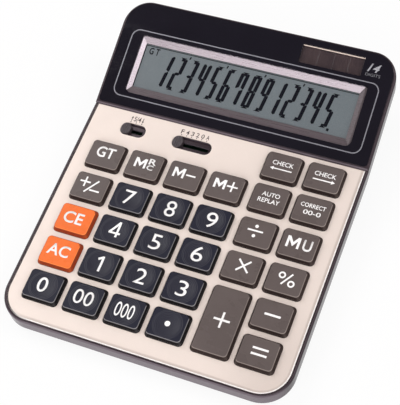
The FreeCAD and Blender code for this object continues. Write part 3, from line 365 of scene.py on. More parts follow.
def printed(name, shapes, place, body, finish, proud=0.02, sunk=0.03, surface=None):
    """A print: flat shapes, cut small where the surface curves, made into a thin layer on it."""
    build = bmesh.new()
    for shape in shapes:
        build.from_mesh(shape)
        bpy.data.meshes.remove(shape)
    bmesh.ops.remove_doubles(build, verts=build.verts, dist=0.001)
    if surface:
        for length in (1.8, 1.0):
            bmesh.ops.triangulate(build, faces=build.faces)
            bmesh.ops.subdivide_edges(build, edges=[e for e in build.edges if e.calc_length() > length], cuts=1)
        bmesh.ops.triangulate(build, faces=build.faces)
    raised = bmesh.ops.extrude_face_region(build, geom=build.faces[:], use_keep_orig=True)["geom"]
    raised = {part for part in raised if isinstance(part, bmesh.types.BMVert)}
    for vert in build.verts:
        ground = surface(vert.co.x, vert.co.y) if surface else 0.0
        vert.co.z = ground + (proud if vert in raised else -sunk)
    bmesh.ops.recalc_face_normals(build, faces=build.faces)
    build.transform(place @ Matrix.Diagonal((MM, MM, MM, 1)))
    return piece(name, build, body, finish)


def piece(name, build, body, finish):
    """Turns a finished bmesh into a named piece of the calculator."""
    mesh = bpy.data.meshes.new(name)
    build.to_mesh(mesh)
    build.free()
    mesh.materials.append(finish)
    thing = bpy.data.objects.new(name, mesh)
    bpy.context.scene.collection.objects.link(thing)
    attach(thing, body)
    return thing


def ink(name, colour, roughness):
    """Screen ink: even, with slightly speckled cover."""
    return plastic(name, colour, colour, roughness, grain_size=0.25, grain_depth=0.003, wear=0.0, edge_width=0.1,
                   marks=0.05)


def arrow(u, v, tall, width, head, up=1):
    """A thin arrow along v with a solid head."""
    foot, tip = v - up * tall / 2, v + up * tall / 2
    neck = tip - up * head
    half, wing = width / 2, head * 0.55
    return outline([(u - half, foot), (u + half, foot), (u + half, neck), (u + wing, neck), (u, tip), (u - wing, neck),
                    (u - half, neck)])


scale_ink = ink("scale_ink_brown", (0.07, 0.05, 0.045), 0.5)
SCALE_WEIGHT = 0.012
FIGURE_LOW, FIGURE_HIGH, FIGURE_HALF, FIRST_FIGURE, FIGURE_PITCH = 54.6, 57.2, 0.85, -23.4, 2.86
TICK, TICK_TOP = 53.6, 54.2
UP_STOP, CUT_STOP, DOWN_STOP = -52.8, -49.7, -46.5
scale = [word("5/4", -51.6, -47.7, FIGURE_LOW, 57.6, SCALE_WEIGHT),
         arrow(UP_STOP, 56.0, tall=3.0, width=0.36, head=1.2),
         arrow(DOWN_STOP, 56.0, tall=3.0, width=0.36, head=1.2, up=-1)]
scale += [bar(u, TICK, u, TICK_TOP, 0.5) for u in (UP_STOP, CUT_STOP, DOWN_STOP)]
for number, figure in enumerate("F4320A"):
    u = FIRST_FIGURE + FIGURE_PITCH * number
    scale += [word(figure, u - FIGURE_HALF, u + FIGURE_HALF, FIGURE_LOW, FIGURE_HIGH, SCALE_WEIGHT),
              bar(u, TICK, u, TICK_TOP, 0.45)]
printed("switch_scales", scale, KEYPAD, "calculator", scale_ink)


# ---- Switch knobs -----------------------------------------------------------------
# Two dark grey thermoplastic knobs with moulded grip grooves, clipped through slits in
# the case. Thumbs polish the tops of the ridges.
knob_grey = plastic("switch_knob_grey", (0.048, 0.038, 0.043), (0.16, 0.14, 0.15), roughness=0.34, grain_size=0.3,
                    grain_depth=0.006, wear=0.8, edge_width=0.2)
dress(knob_grey, "rounding_knob", "decimal_knob")


# ---- Keys -------------------------------------------------------------------------
# Injection moulded caps on stems: brown function keys, blue-black number keys with a
# turned round dish, and two orange clearing keys. Their sides are coloured darker than their tops: painted shade.
key_shades, given, made = effect(
    "key_shades",
    {"Top": (0.2, 0.15, 0.14), "Side": (0.02, 0.02, 0.02), "Rim": (0.3, 0.25, 0.24), "Rim Width": 0.5},
    {"Colour": "Color", "Top Mask": "Float"})
tree = key_shades
PRESS_AXIS = tuple(KEYPAD.to_3x3().col[2])
LIT_SIDE = (0.35, -0.94, 0)
facing = put(tree, "ShaderNodeBevel", {"Radius": 0.45 * MM}, samples=8).outputs[0]
upward = dot(tree, facing, PRESS_AXIS)
# Painted shade: below the top mask the key takes its darker Side colour
top = between(tree, upward, 0.35, 0.9)
rim = maths(tree, "MULTIPLY", between(tree, upward, 0.3, 0.7), between(tree, upward, 0.99, 0.85))
rim = maths(tree, "MULTIPLY", rim, given["Rim Width"], clamp=True)
# Painted highlight and shade on the rims: towards the lit side they take the light Rim colour, elsewhere the dark Side
# colour
painted_rim_light = blend_colours(tree, between(tree, dot(tree, facing, LIT_SIDE), 0.0, 0.3), given["Side"], given["Rim"])
feed(tree, made, {
    "Colour": blend_colours(tree, rim, blend_colours(tree, top, given["Side"], given["Top"]), painted_rim_light),
    "Top Mask": top})

# Rings: the fine turned circles that the mould leaves in each dish, centred key by key.
# Nine more pitches keep the folded distance from starting over inside the keypad.
COLUMN, ROW, BLOCK_GAP = 22.5, 19.54, 0.62
turned_rings, given, made = effect("turned_rings", {"Spacing": 0.9, "Depth": 0.01, "Reach": 6.5},
                                   {"Height": "Float", "Mask": "Float"})
tree = turned_rings
flat = put(tree, "ShaderNodeMapping",
           {"Vector": millimetres(tree), "Location": tuple(-KEYPAD.translation / MM)}).outputs[0]
flat = put(tree, "ShaderNodeVectorRotate", {"Vector": flat, "Axis": (1, 0, 0), "Angle": -KEYPAD_LEAN}).outputs[0]
flat = parts(tree, flat)
folded = (maths(tree, "PINGPONG", maths(tree, "ADD", flat[axis], start + 9 * pitch), pitch / 2)
          for axis, start, pitch in (("X", BLOCK_GAP + COLUMN / 2, COLUMN), ("Y", ROW / 2, ROW)))
radius = reach(tree, *folded)
turns = maths(tree, "DIVIDE", maths(tree, "MULTIPLY", radius, math.tau), given["Spacing"])
wave = maths(tree, "SINE", turns)
inside = maths(tree, "LESS_THAN", radius, given["Reach"])
feed(tree, made, {
    "Height": maths(tree, "MULTIPLY", maths(tree, "MULTIPLY", wave, inside), given["Depth"]),
    "Mask": maths(tree, "MULTIPLY", between(tree, wave, -1.0, 1.0), inside)})


def key_plastic(name, top, side, rim, rings=0.0, roughness=0.27):
    """The skin of one colour of key, with or without the turned rings of a dish."""
    material, tree, shader = finish_named(name)
    shade = use(tree, key_shades, {"Top": top, "Side": side, "Rim": rim, "Rim Width": 0.95})
    colour = shade["Colour"]
    if rings:
        turning = use(tree, turned_rings, {"Spacing": 0.8, "Depth": rings, "Reach": 7.6})
        # Painted sheen: the crests of the turned rings on the top are lightened towards the rim colour
        ring_sheen = maths(tree, "MULTIPLY", turning["Mask"], maths(tree, "MULTIPLY", shade["Top Mask"], 0.11))
        colour = blend_colours(tree, ring_sheen, colour, rim)
    skin = use(tree, moulded_plastic, {"Colour": colour, "Edge Colour": rim, "Roughness": roughness,
                                       "Grain Size": 0.5, "Grain Depth": 0.003, "Edge Wear": 0.12})
    height = maths(tree, "ADD", skin["Height"], turning["Height"]) if rings else skin["Height"]
    dull = maths(tree, "MULTIPLY_ADD", maths(tree, "SUBTRACT", 1.0, shade["Top Mask"]), 0.4, skin["Roughness"])
    lay_on(tree, shader, {"Colour": skin["Colour"], "Roughness": dull, "Height": height}, marks=0.04,
           scratches=0.0006, **{"Specular IOR Level": 0.16})
    return material


# For each colour of key: its top, its sides darkened as painted shade, and its rim colour, a painted highlight that
# also colours worn edges and, on number keys, the ring sheen
KEY_SKINS = {
    "key_taupe": key_plastic("key_taupe", (0.115, 0.093, 0.088), (0.026, 0.015, 0.014), (0.3, 0.25, 0.225)),
    "key_navy": key_plastic("key_navy", (0.0135, 0.0145, 0.027), (0.003, 0.002, 0.003), (0.27, 0.26, 0.27),
                            rings=0.008, roughness=0.34),
    "key_orange": key_plastic("key_orange", (0.86, 0.165, 0.026), (0.35, 0.047, 0.013), (1.0, 0.27, 0.07)),
}
NUMBER_KEYS = ["key_" + figure for figure in "0 1 2 3 4 5 6 7 8 9 00 000 point".split()]
CLEARING_KEYS = ["key_ce", "key_ac"]


def key_colour(name):
    """The plastic that a key is moulded in, which is also its slot."""
    return "key_navy" if name in NUMBER_KEYS else "key_orange" if name in CLEARING_KEYS else "key_taupe"


for name in nodes:
    if name.startswith("key_"):
        dress(KEY_SKINS[key_colour(name)], name)


# ---- Key legends ------------------------------------------------------------------
# White figures and words, pad printed and hard lacquered on each key, so that they
# follow the dish of the number keys. Measured from the middle of each key.
KEY_TOP = 2.8
DISH_RADIUS, DISH_DEPTH, DISH_BALL = 6.3, 0.55, 36.36


def dish(u, v):
    """How far the top of a number key lies below its flat rim."""
    away = min(math.hypot(u, v), DISH_RADIUS)
    return DISH_BALL - DISH_DEPTH - math.sqrt(DISH_BALL ** 2 - away ** 2)


def ring_line(u, v, radius):
    """A circle as a closed line."""
    return [(u + radius * math.cos(math.tau * i / 32), v + radius * math.sin(math.tau * i / 32)) for i in range(32)]


def plus(u, v, arm, width, turn=0.0):
    """A plus sign; turned by 45 degrees it is a times sign."""
    h = width / 2
    corners = [(arm, h), (h, h), (h, arm), (-h, arm), (-h, h), (-arm, h),
               (-arm, -h), (-h, -h), (-h, -arm), (h, -arm), (h, -h), (arm, -h)]
    c, s = math.cos(turn), math.sin(turn)
    return outline([(u + x * c - y * s, v + x * s + y * c) for x, y in corners])


def letter_m(left, right, low, high, stroke):
    """A capital M with a pointed middle."""
    middle, inner = (left + right) / 2, left + stroke
    tip = low + 0.12 * (high - low)
    notch = tip + 1.9 * stroke
    slope = (high - notch) / (middle - inner - 0.15 * stroke)
    hip = tip + slope * (middle - inner)
    half = [(left, low), (inner, low), (inner, min(hip, high - 0.3))]
    over = [(inner + 0.15 * stroke, high), (left, high)]
    mirror = [(2 * middle - u, v) for u, v in reversed(half)]
    back = [(2 * middle - u, v) for u, v in reversed(over)]
    return outline(half + [(middle, tip)] + mirror + back + [(middle, notch)] + over)


BOLD, SMALL_BOLD, FIGURE_WEIGHT = 0.018, 0.017, 0.001
LEGENDS = {
    "check_back": [word("CHECK", -5.3, 6.0, 0.4, 3.0, SMALL_BOLD),
                   outline([(-5.7, -1.7), (-3.8, -0.65), (-3.8, -1.37), (5.9, -1.37), (5.9, -2.03), (-3.8, -2.03),
                            (-3.8, -2.75)])],
    "check_forward": [word("CHECK", -5.3, 6.0, 0.4, 3.0, SMALL_BOLD),
                      outline([(6.3, -1.7), (4.4, -2.75), (4.4, -2.03), (-5.3, -2.03), (-5.3, -1.37), (4.4, -1.37),
                               (4.4, -0.65)])],
    "gt": [word("GT", -5.1, 5.1, -1.9, 4.5, BOLD)],
    "mrc": [letter_m(-5.5, 0.9, -2.0, 3.6, 1.2), word("R", 1.8, 6.0, 1.05, 4.6, 0.024),
            word("C", 1.7, 5.2, -2.2, 0.8, 0.022)],
    "m_minus": [letter_m(-6.3, -0.1, -1.7, 3.9, 1.2), bar(0.8, 0.8, 6.0, 0.8, 0.9)],
    "m_plus": [letter_m(-6.2, 0.1, -1.6, 3.8, 1.2), plus(3.7, 0.9, 2.9, 0.9)],
    "auto_replay": [word("AUTO", -4.3, 5.1, 1.0, 3.5, SMALL_BOLD), word("REPLAY", -5.5, 6.0, -2.6, -0.1, SMALL_BOLD)],
    "correct": [word("CORRECT", -6.3, 6.7, 1.0, 3.4, SMALL_BOLD), word("00-0", -3.9, 5.2, -3.0, -0.4, SMALL_BOLD)],
    "sign": [plus(-3.5, 2.2, 2.9, 0.9), bar(-2.2, -3.7, 3.6, 4.2, 0.9), bar(0.3, -1.9, 5.9, -1.9, 0.9)],
    "divide": [bar(-4.4, 1.0, 3.6, 1.0, 0.9), outline(ring_line(-0.4, 3.5, 0.9)), outline(ring_line(-0.4, -1.9, 0.9))],
    "mu": [letter_m(-6.3, 0.5, -2.5, 3.6, 1.25), word("U", 2.1, 6.7, -2.6, 3.5, BOLD)],
    "ce": [word("CE", -6.2, 4.6, -3.0, 3.6, BOLD)],
    "ac": [word("AC", -6.5, 5.4, -2.5, 3.9, BOLD)],
    "multiply": [plus(0.6, 0.75, 4.4, 0.95, math.radians(45))],
    "percent": [bar(-1.5, -2.8, 2.8, 3.6, 0.85), outline(ring_line(-2.2, 1.9, 1.8), ring_line(-2.2, 1.9, 0.95)),
                outline(ring_line(3.3, -1.6, 1.8), ring_line(3.3, -1.6, 0.95))],
    "plus": [plus(0.5, 0.25, 4.15, 1.1)],
    "minus": [bar(-3.7, 0.05, 4.4, 0.05, 1.1)],
    "equals": [bar(-3.2, 1.9, 4.7, 1.9, 1.05), bar(-3.2, -1.1, 4.7, -1.1, 1.05)],
    "point": [outline(ring_line(-0.3, 0.45, 1.4))],
    "0": [word("0", -3.4, 2.0, -3.4, 4.5, 0.007)],
    "00": [word("00", -5.5, 5.0, -3.5, 4.2, 0.003)],
    "000": [word("000", -5.4, 4.6, -3.6, 4.0)],
    "1": [outline([(0.15, -4.0), (1.35, -4.0), (1.35, 4.4), (0.4, 4.4), (-1.9, 3.0), (-1.4, 1.95), (0.15, 2.85)])],
    "2": [word("2", -2.8, 3.1, -4.0, 4.2, FIGURE_WEIGHT)],
    "3": [word("3", -2.9, 2.6, -4.0, 4.2, FIGURE_WEIGHT)],
    "4": [outline([(1.05, -3.5), (2.2, -3.5), (2.2, -1.85), (3.4, -1.85), (3.4, -0.8), (2.2, -0.8), (2.2, 5.1),
                   (1.05, 5.1), (-2.9, -0.9), (-2.9, -1.85), (1.05, -1.85)],
                  [(-1.5, -0.8), (1.05, -0.8), (1.05, 3.05)])],
    "5": [word("5", -2.8, 3.0, -4.0, 4.4, FIGURE_WEIGHT)],
    "6": [word("6", -2.9, 3.2, -3.9, 4.5, FIGURE_WEIGHT)],
    "7": [word("7", -3.4, 2.7, -3.8, 4.2, FIGURE_WEIGHT)],
    "8": [word("8", -2.5, 3.2, -4.2, 4.7, FIGURE_WEIGHT)],
    "9": [word("9", -2.8, 3.2, -4.0, 4.6, FIGURE_WEIGHT)],
}
# The keys row by row from the display down, with a dash where there is none
KEY_ROWS = ("- - - - check_back check_forward", "gt mrc m_minus m_plus auto_replay correct", "sign 7 8 9 divide mu",
            "ce 4 5 6 multiply percent", "ac 1 2 3 plus minus", "0 00 000 point - equals")
GRID = {short: (column, row) for row, line in enumerate(KEY_ROWS) for column, short in enumerate(line.split())
        if short != "-"}
GRID["plus"] = (4, 4.5)
MEMORY_ROW_SHIFT = 0.4


def key_place(short, height):
    """Where a height over the plate lies on a key's middle line."""
    column, row = GRID[short]
    x = (column - 2.5) * COLUMN + (BLOCK_GAP if column > 3 else -BLOCK_GAP)
    y = (2.5 - row) * ROW + (MEMORY_ROW_SHIFT if row == 1 else 0.0)
    return KEYPAD @ Matrix.Translation((x * MM, y * MM, height * MM))


legend_white = ink("legend_white", (0.92, 0.91, 0.9), 0.35)
for short in GRID:
    name = "key_" + short
    printed("legend_" + short, LEGENDS[short], key_place(short, KEY_TOP), name, legend_white,
            proud=0.03, sunk=0.06, surface=dish if name in NUMBER_KEYS else None)


# ---- Liquid crystal display -------------------------------------------------------
# Two sheets of glass with a grey reflector behind them. Fourteen seven-bar figures, a
# point, four commas above and a small grand-total sign are switched on.
DISPLAY = Matrix.Translation((0, 34.783 * MM, 21.176 * MM)) @ Matrix.Rotation(math.radians(19), 4, "X")
LCD_TOP = -3.0

lcd_grey, tree, shader = finish_named("lcd_grey_reflector")
mm = millimetres(tree)
sparkle = noise(tree, mm, scale=6.0)
tone = maths(tree, "ADD", varied(tree, noise(tree, mm, scale=0.02), 0.96, 1.04), varied(tree, sparkle, -0.03, 0.03))
feed(tree, shader, {
    "Base Color": lighten(tree, (0.132, 0.156, 0.169), tone),
    "Roughness": varied(tree, sparkle, 0.22, 0.3),
    "Normal": bumpy(tree, maths(tree, "MULTIPLY", sparkle, 0.002))})
dress(lcd_grey, "lcd_panel")

# One figure: the bars' width, the distances between their centre lines, and the lean
BAR, WIDE, TALL, LEAN = 2.0, 2.8, 17.15, math.tan(math.radians(8.0))
BARS_ON = {"1": "bc", "2": "abged", "3": "abgcd", "4": "fgbc", "5": "afgcd", "6": "afgecd", "7": "fabc",
           "8": "abcdefg", "9": "abcdfg"}


def bars(figure, u, s):
    """The closed lines of the bars that show a figure, from its lower left centre line."""
    h, half = BAR / 2, TALL / 2
    level = [(-h / 2, h), (WIDE + h / 2, h), (WIDE - h / 2, 0.4 * h), (WIDE - h / 2, -h), (h / 2, -h), (h / 2, 0.4 * h)]
    middle = [(-0.2, 0), (0.6 * h, 0.8 * h), (WIDE - 0.6 * h, 0.8 * h), (WIDE + 0.2, 0), (WIDE - 0.6 * h, -0.8 * h),
              (0.6 * h, -0.8 * h)]
    tall = [(-h, h / 2), (-h / 2, 0), (h, h), (h, half - h / 2), (0, half + h / 2), (-h, half)]
    shapes = {
        "a": [(x, TALL + y) for x, y in level], "d": [(x, -y) for x, y in level],
        "g": [(x, half + y) for x, y in middle],
        "f": [(x, half + y) for x, y in tall], "b": [(WIDE - x, half + y) for x, y in tall],
        "e": [(x, half - y) for x, y in tall], "c": [(WIDE - x, half - y) for x, y in tall],
    }
    return [[(u + x + LEAN * y, s + y) for x, y in shapes[bar_on]] for bar_on in BARS_ON[figure]]


lcd_ink = plastic("lcd_dark_bars", (0.002, 0.003, 0.007), (0.002, 0.003, 0.007), roughness=0.6, grain_size=0.25,
                  grain_depth=0.003, wear=0.0, **{"Specular IOR Level": 0.05})
SHOWN, COMMA_AFTER = "12345678912345", (1, 4, 7, 10)
PITCH, LAST_FIGURE, FIGURES_LOW = 7.14, 43.9, 16.8
SIGN_LOW, SIGN_HIGH = 33.7, 37.6
GLASS_LEFT, GLASS_RIGHT, GLASS_NEAR, GLASS_FAR, GLASS_LINE = -60.1, 60.1, 13.4, 38.5, 0.4
shown = []
for place_number, figure in enumerate(SHOWN):
    left = LAST_FIGURE + BAR / 2 - PITCH * (13 - place_number)
    shown += [outline(line) for line in bars(figure, left, FIGURES_LOW + BAR / 2)]
    if place_number in COMMA_AFTER:
        shown.append(bar(left + 7.0, 35.8, left + 7.45, 37.3, 0.75))
shown.append(bar(49.4, 15.6, 49.6, 17.0, 1.35))
shown += [word("G", -57.4, -54.9, SIGN_LOW, SIGN_HIGH, 0.02), word("T", -53.7, -51.5, SIGN_LOW, SIGN_HIGH, 0.02)]
# The shade that the frame throws on the glass, a thin line along its left and far edges
shown.append(outline([(GLASS_LEFT, GLASS_NEAR), (GLASS_LEFT + GLASS_LINE, GLASS_NEAR),
                      (GLASS_LEFT + GLASS_LINE, GLASS_FAR - GLASS_LINE), (GLASS_RIGHT, GLASS_FAR - GLASS_LINE),
                      (GLASS_RIGHT, GLASS_FAR), (GLASS_LEFT, GLASS_FAR)]))
printed("lcd_figures", shown, DISPLAY @ Matrix.Translation((0, 0, LCD_TOP * MM)), "calculator", lcd_ink,
        sunk=0.01)


# ---- Display frame ----------------------------------------------------------------
# A plastic frame with a satin silver metallised slope round the window, coloured near
# black below a step where it meets the display glass, as painted shade. It is clamped between the lens and the glass.
frame_silver, tree, shader = finish_named("frame_satin_silver")
SHADE_STEP, LAND_NEAR, LAND_RIGHT = -2.4, 12.0, 61.0
skin = use(tree, drawn_metal, {"Colour": (0.56, 0.49, 0.54), "Edge Colour": (0.85, 0.8, 0.82),
                               "Roughness": 0.3, "Line Length": 12.0, "Line Width": 0.3, "Line Depth": 0.0006})
mm = millimetres(tree)
facing = put(tree, "ShaderNodeNewGeometry").outputs["True Normal"]
upwards, raising = tuple(DISPLAY.to_3x3().col[1]), tuple(DISPLAY.to_3x3().col[2])
deep = Vector(raising).dot(DISPLAY.translation) / MM + SHADE_STEP
# Painted shade: below the step the frame is coloured near black and not metallic
silver = between(tree, dot(tree, mm, raising), deep - 0.03, deep + 0.03)
# Painted dark reflection: the walls that face away from the user and to the left, and the
# flat land at their feet, are coloured dark and made less metallic
near_wall, right_wall = dot(tree, facing, upwards), dot(tree, facing, (-1, 0, 0))
wall = maths(tree, "MAXIMUM", near_wall, right_wall)
level = maths(tree, "GREATER_THAN", maths(tree, "MINIMUM", near_wall, right_wall), -0.1)
land = Vector(upwards).dot(DISPLAY.translation) / MM + LAND_NEAR
land = maths(tree, "MAXIMUM", maths(tree, "LESS_THAN", dot(tree, mm, upwards), land),
             maths(tree, "GREATER_THAN", dot(tree, mm, (1, 0, 0)), LAND_RIGHT))
shaded = maths(tree, "MAXIMUM", between(tree, wall, 0.05, 0.15), maths(tree, "MULTIPLY", land, level))
slope = blend_colours(tree, shaded, skin["Colour"], (0.105, 0.085, 0.094))
unshaded = maths(tree, "SUBTRACT", 1.0, shaded)
feed(tree, shader, {
    "Base Color": blend_colours(tree, silver, (0.008, 0.007, 0.009), slope),
    "Metallic": maths(tree, "MULTIPLY", silver, maths(tree, "MULTIPLY_ADD", shaded, -0.9, 1.0)),
    "Roughness": maths(tree, "MULTIPLY_ADD", maths(tree, "SUBTRACT", 1.0, silver), 0.35, skin["Roughness"]),
    "Normal": bumpy(tree, maths(tree, "MULTIPLY", skin["Height"], unshaded))})
dress(frame_silver, "display_frame")


# ---- Solar cell -------------------------------------------------------------------
# Amorphous silicon on glass in narrow strips, dark brown, with a pale metal contact
# along its far edge, which glows faintly as painted light. It lies in a pocket under its own window in the lens.
solar_brown, tree, shader = finish_named("solar_dark_brown")
mm = millimetres(tree)
STRIP, CUT = 8.4, 0.14
cut = between(tree, maths(tree, "PINGPONG", parts(tree, mm)["X"], STRIP / 2), 0.0, CUT, 1.0, 0.0)
film = noise(tree, mm, scale=0.12, detail=3.0)
colour = blend_colours(tree, varied(tree, film), (0.034, 0.024, 0.028), (0.05, 0.034, 0.036))
feed(tree, shader, {
    "Base Color": blend_colours(tree, maths(tree, "MULTIPLY", cut, 0.5), colour, (0.012, 0.01, 0.012)),
    "Roughness": varied(tree, film, 0.1, 0.18),
    "Normal": bumpy(tree, maths(tree, "MULTIPLY", cut, -0.02))})
dress(solar_brown, "solar_cell")

SOLAR_LEFT, SOLAR_RIGHT, SOLAR_NEAR, SOLAR_FAR, SOLAR_TOP = 24.4, 58.1, 47.2, 57.6, -1.6
# Painted light: the pale contact glows faintly, as if it caught a lamp
contact_glowing = metal("solar_contact_pale", (0.97, 0.84, 0.78), (1.0, 0.9, 0.85), roughness=0.5, Metallic=0.0,
                     **{"Emission Color": (1.0, 0.76, 0.62), "Emission Strength": 0.45})
STRIP_V = SOLAR_FAR - 0.2
printed("solar_contact_strip", [bar(SOLAR_LEFT + 0.1, STRIP_V, SOLAR_RIGHT - 0.1, STRIP_V, 0.3)],
        DISPLAY @ Matrix.Translation((0, 0, SOLAR_TOP * MM)), "calculator", contact_glowing, proud=0.25,
        sunk=0.01)


# ---- Lens -------------------------------------------------------------------------
# One moulded acrylic sheet that covers the whole display deck, printed black on its
# back but for the window and the solar pane, with a thin silver line and small words.
LENS_HALF, LENS_NEAR, LENS_FAR, LENS_THICK = 75.0, 1.5, 60.9, 1.2
NEAR_CORNER, FAR_CORNER = 2.0, 12.5
WINDOW, WINDOW_CORNERS = (-62.4, 63.7, 9.5, 42.4), (3.2, 1.0)
SOLAR_PANE = (SOLAR_LEFT, SOLAR_RIGHT, SOLAR_NEAR, SOLAR_FAR)


def rounded_line(left, right, low, high, near, far, steps=10):
    """A rectangle with rounded corners as a closed line, near and far corners apart."""
    line = []
    for cu, cv, radius, start in ((right - far, high - far, far, 0), (left + far, high - far, far, 90),
                                  (left + near, low + near, near, 180), (right - near, low + near, near, 270)):
        for step in range(steps + 1):
            angle = math.radians(start + 90 * step / steps)
            line.append((cu + radius * math.cos(angle), cv + radius * math.sin(angle)))
    return line


def square_line(left, right, low, high):
    return [(left, low), (right, low), (right, high), (left, high)]


lens_black, tree, shader = finish_named("lens_printed_black")
touched = use(tree, handling, {"Marks": 0.05, "Scratches": 0.0015})
flow = noise(tree, millimetres(tree), scale=0.03)
feed(tree, shader, {
    "Base Color": blend_colours(tree, varied(tree, flow), (0.004, 0.004, 0.0085), (0.0055, 0.0055, 0.0105)),
    "Roughness": maths(tree, "ADD", touched["Marks"], 0.06),
    "Normal": bumpy(tree, maths(tree, "SUBTRACT", maths(tree, "MULTIPLY", flow, 0.01), touched["Scratches"]))})
lens_edge = rounded_line(-LENS_HALF, LENS_HALF, LENS_NEAR, LENS_FAR, NEAR_CORNER, FAR_CORNER)
cover = printed("lens_cover", [outline(lens_edge, rounded_line(*WINDOW, *WINDOW_CORNERS, steps=6),
                                       square_line(*SOLAR_PANE))],
                DISPLAY, "calculator", lens_black, proud=0.0, sunk=LENS_THICK)
softened = cover.modifiers.new("polished_edge", "BEVEL")
softened.width, softened.segments, softened.angle_limit = 0.25 * MM, 2, math.radians(50)
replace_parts(cover, "display_lens")

clear_acrylic, tree, shader = finish_named("lens_clear_acrylic")
ACRYLIC_IOR, PANE_GLOSS, MOST_GLOSS = 1.49, 0.35, 0.016
touched = use(tree, handling, {"Marks": 0.03, "Scratches": 0.001})
gloss = maths(tree, "MULTIPLY", put(tree, "ShaderNodeFresnel", {"IOR": ACRYLIC_IOR}).outputs[0], PANE_GLOSS)
feed(tree, shader, {
    "Base Color": (1, 1, 1), "Metallic": 1.0,
    "Roughness": maths(tree, "ADD", touched["Marks"], 0.03),
    "Alpha": maths(tree, "MINIMUM", gloss, MOST_GLOSS),
    "Normal": bumpy(tree, maths(tree, "MULTIPLY", touched["Scratches"], -1.0))})
PANE_PLAY = 0.02
for name, (left, right, low, high), corners in (("lens_window", WINDOW, WINDOW_CORNERS),
                                                ("lens_solar_pane", SOLAR_PANE, (0.1, 0.1))):
    pane = rounded_line(left + PANE_PLAY, right - PANE_PLAY, low + PANE_PLAY, high - PANE_PLAY, *corners, steps=6)
    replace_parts(printed(name, [outline(pane)], DISPLAY, "calculator", clear_acrylic, proud=-0.01,
                        sunk=LENS_THICK - PANE_PLAY), "display_lens")

# The lens prints: the silver line round the window and the words at the right
line_silver = metal("line_silver_ink", (0.24, 0.24, 0.27), (0.3, 0.3, 0.33), roughness=0.45, Metallic=0.4)
LINE_LEFT, LINE_RIGHT, LINE_NEAR, LINE_FAR, LINE = -68.8, 69.6, 6.8, 45.0, 0.28
printed("lens_silver_line",
        [outline(rounded_line(LINE_LEFT - LINE, LINE_RIGHT + LINE, LINE_NEAR - LINE, LINE_FAR + LINE, 4.7, 4.7),
                 rounded_line(LINE_LEFT + LINE, LINE_RIGHT - LINE, LINE_NEAR + LINE, LINE_FAR - LINE, 4.2, 4.2))],
        DISPLAY, "calculator", line_silver, proud=0.01, sunk=0.05)
lens_words = ink("lens_words_grey", (0.36, 0.36, 0.39), 0.35)
faint_words = ink("lens_words_faint", (0.15, 0.15, 0.165), 0.35)
printed("lens_words", [word("14", 60.6, 67.3, 50.7, 55.3, weight=0.012, slant=0.35)], DISPLAY, "calculator",
        lens_words, proud=0.01, sunk=0.05)
printed("lens_small_words", [word("DIGITS", 60.3, 68.2, 48.3, 49.9, weight=0.006)], DISPLAY, "calculator",
        faint_words, proud=0.01, sunk=0.05)


# ---- Inside -----------------------------------------------------------------------
# The board with its sealed chip and capacitor, the display's holder and film cable, the
# wires, and the silicone key sheet with a dome under each key that gives way under its
# stem. They are seen only through gaps and with the battery cover off.
for finish, colour, edge, roughness, grain_size, grain_depth, wear, *solids in (
        ("board_green_resist", (0.004, 0.02, 0.011), (0.4, 0.33, 0.16), 0.3, 0.35, 0.01, 0.4, "main_board"),
        ("chip_sealing_resin", (0.008, 0.008, 0.009), (0.02, 0.02, 0.02), 0.25, 2.0, 0.08, 0.0, "controller_chip"),
        ("capacitor_sleeve", (0.02, 0.03, 0.06), (0.4, 0.4, 0.42), 0.3, 0.8, 0.01, 0.8, "reserve_capacitor"),
        ("display_holder_grey", (0.2, 0.2, 0.2), (0.28, 0.28, 0.28), 0.55, 0.5, 0.015, 0.3, "display_holder"),
        ("film_cable_amber", (0.42, 0.17, 0.03), (0.5, 0.26, 0.08), 0.25, 0.9, 0.008, 0.3, "display_ribbon"),
        ("wire_soft_red", (0.4, 0.02, 0.018), (0.5, 0.08, 0.07), 0.4, 0.5, 0.006, 0.2, "solar_leads", "battery_leads")):
    dress(plastic(finish, colour, edge, roughness, grain_size, grain_depth, wear), *solids)
spring_brass = metal("contact_brass", (0.75, 0.53, 0.22), (0.9, 0.75, 0.4), roughness=0.28, line_length=8.0,
                     line_width=0.08)
dress(spring_brass, "rounding_contact", "decimal_contact")

sheet_grey = plastic("key_sheet_silicone", (0.42, 0.42, 0.43), (0.5, 0.5, 0.5), roughness=0.6, grain_size=0.3,
                     grain_depth=0.01, wear=0.1,
                     **{"Subsurface Weight": 0.2, "Subsurface Radius": (0.004, 0.004, 0.004)})
SHEET_LOW, SHEET_THICK = -5.7, 0.8
# The sheet's outline leaves the far left clear for the switches
SHEET_EDGE = [(-67.9, -58.2), (67.9, -58.2), (67.9, 58.2), (23.3, 58.2), (23.3, 39.0), (-67.9, 39.0)]
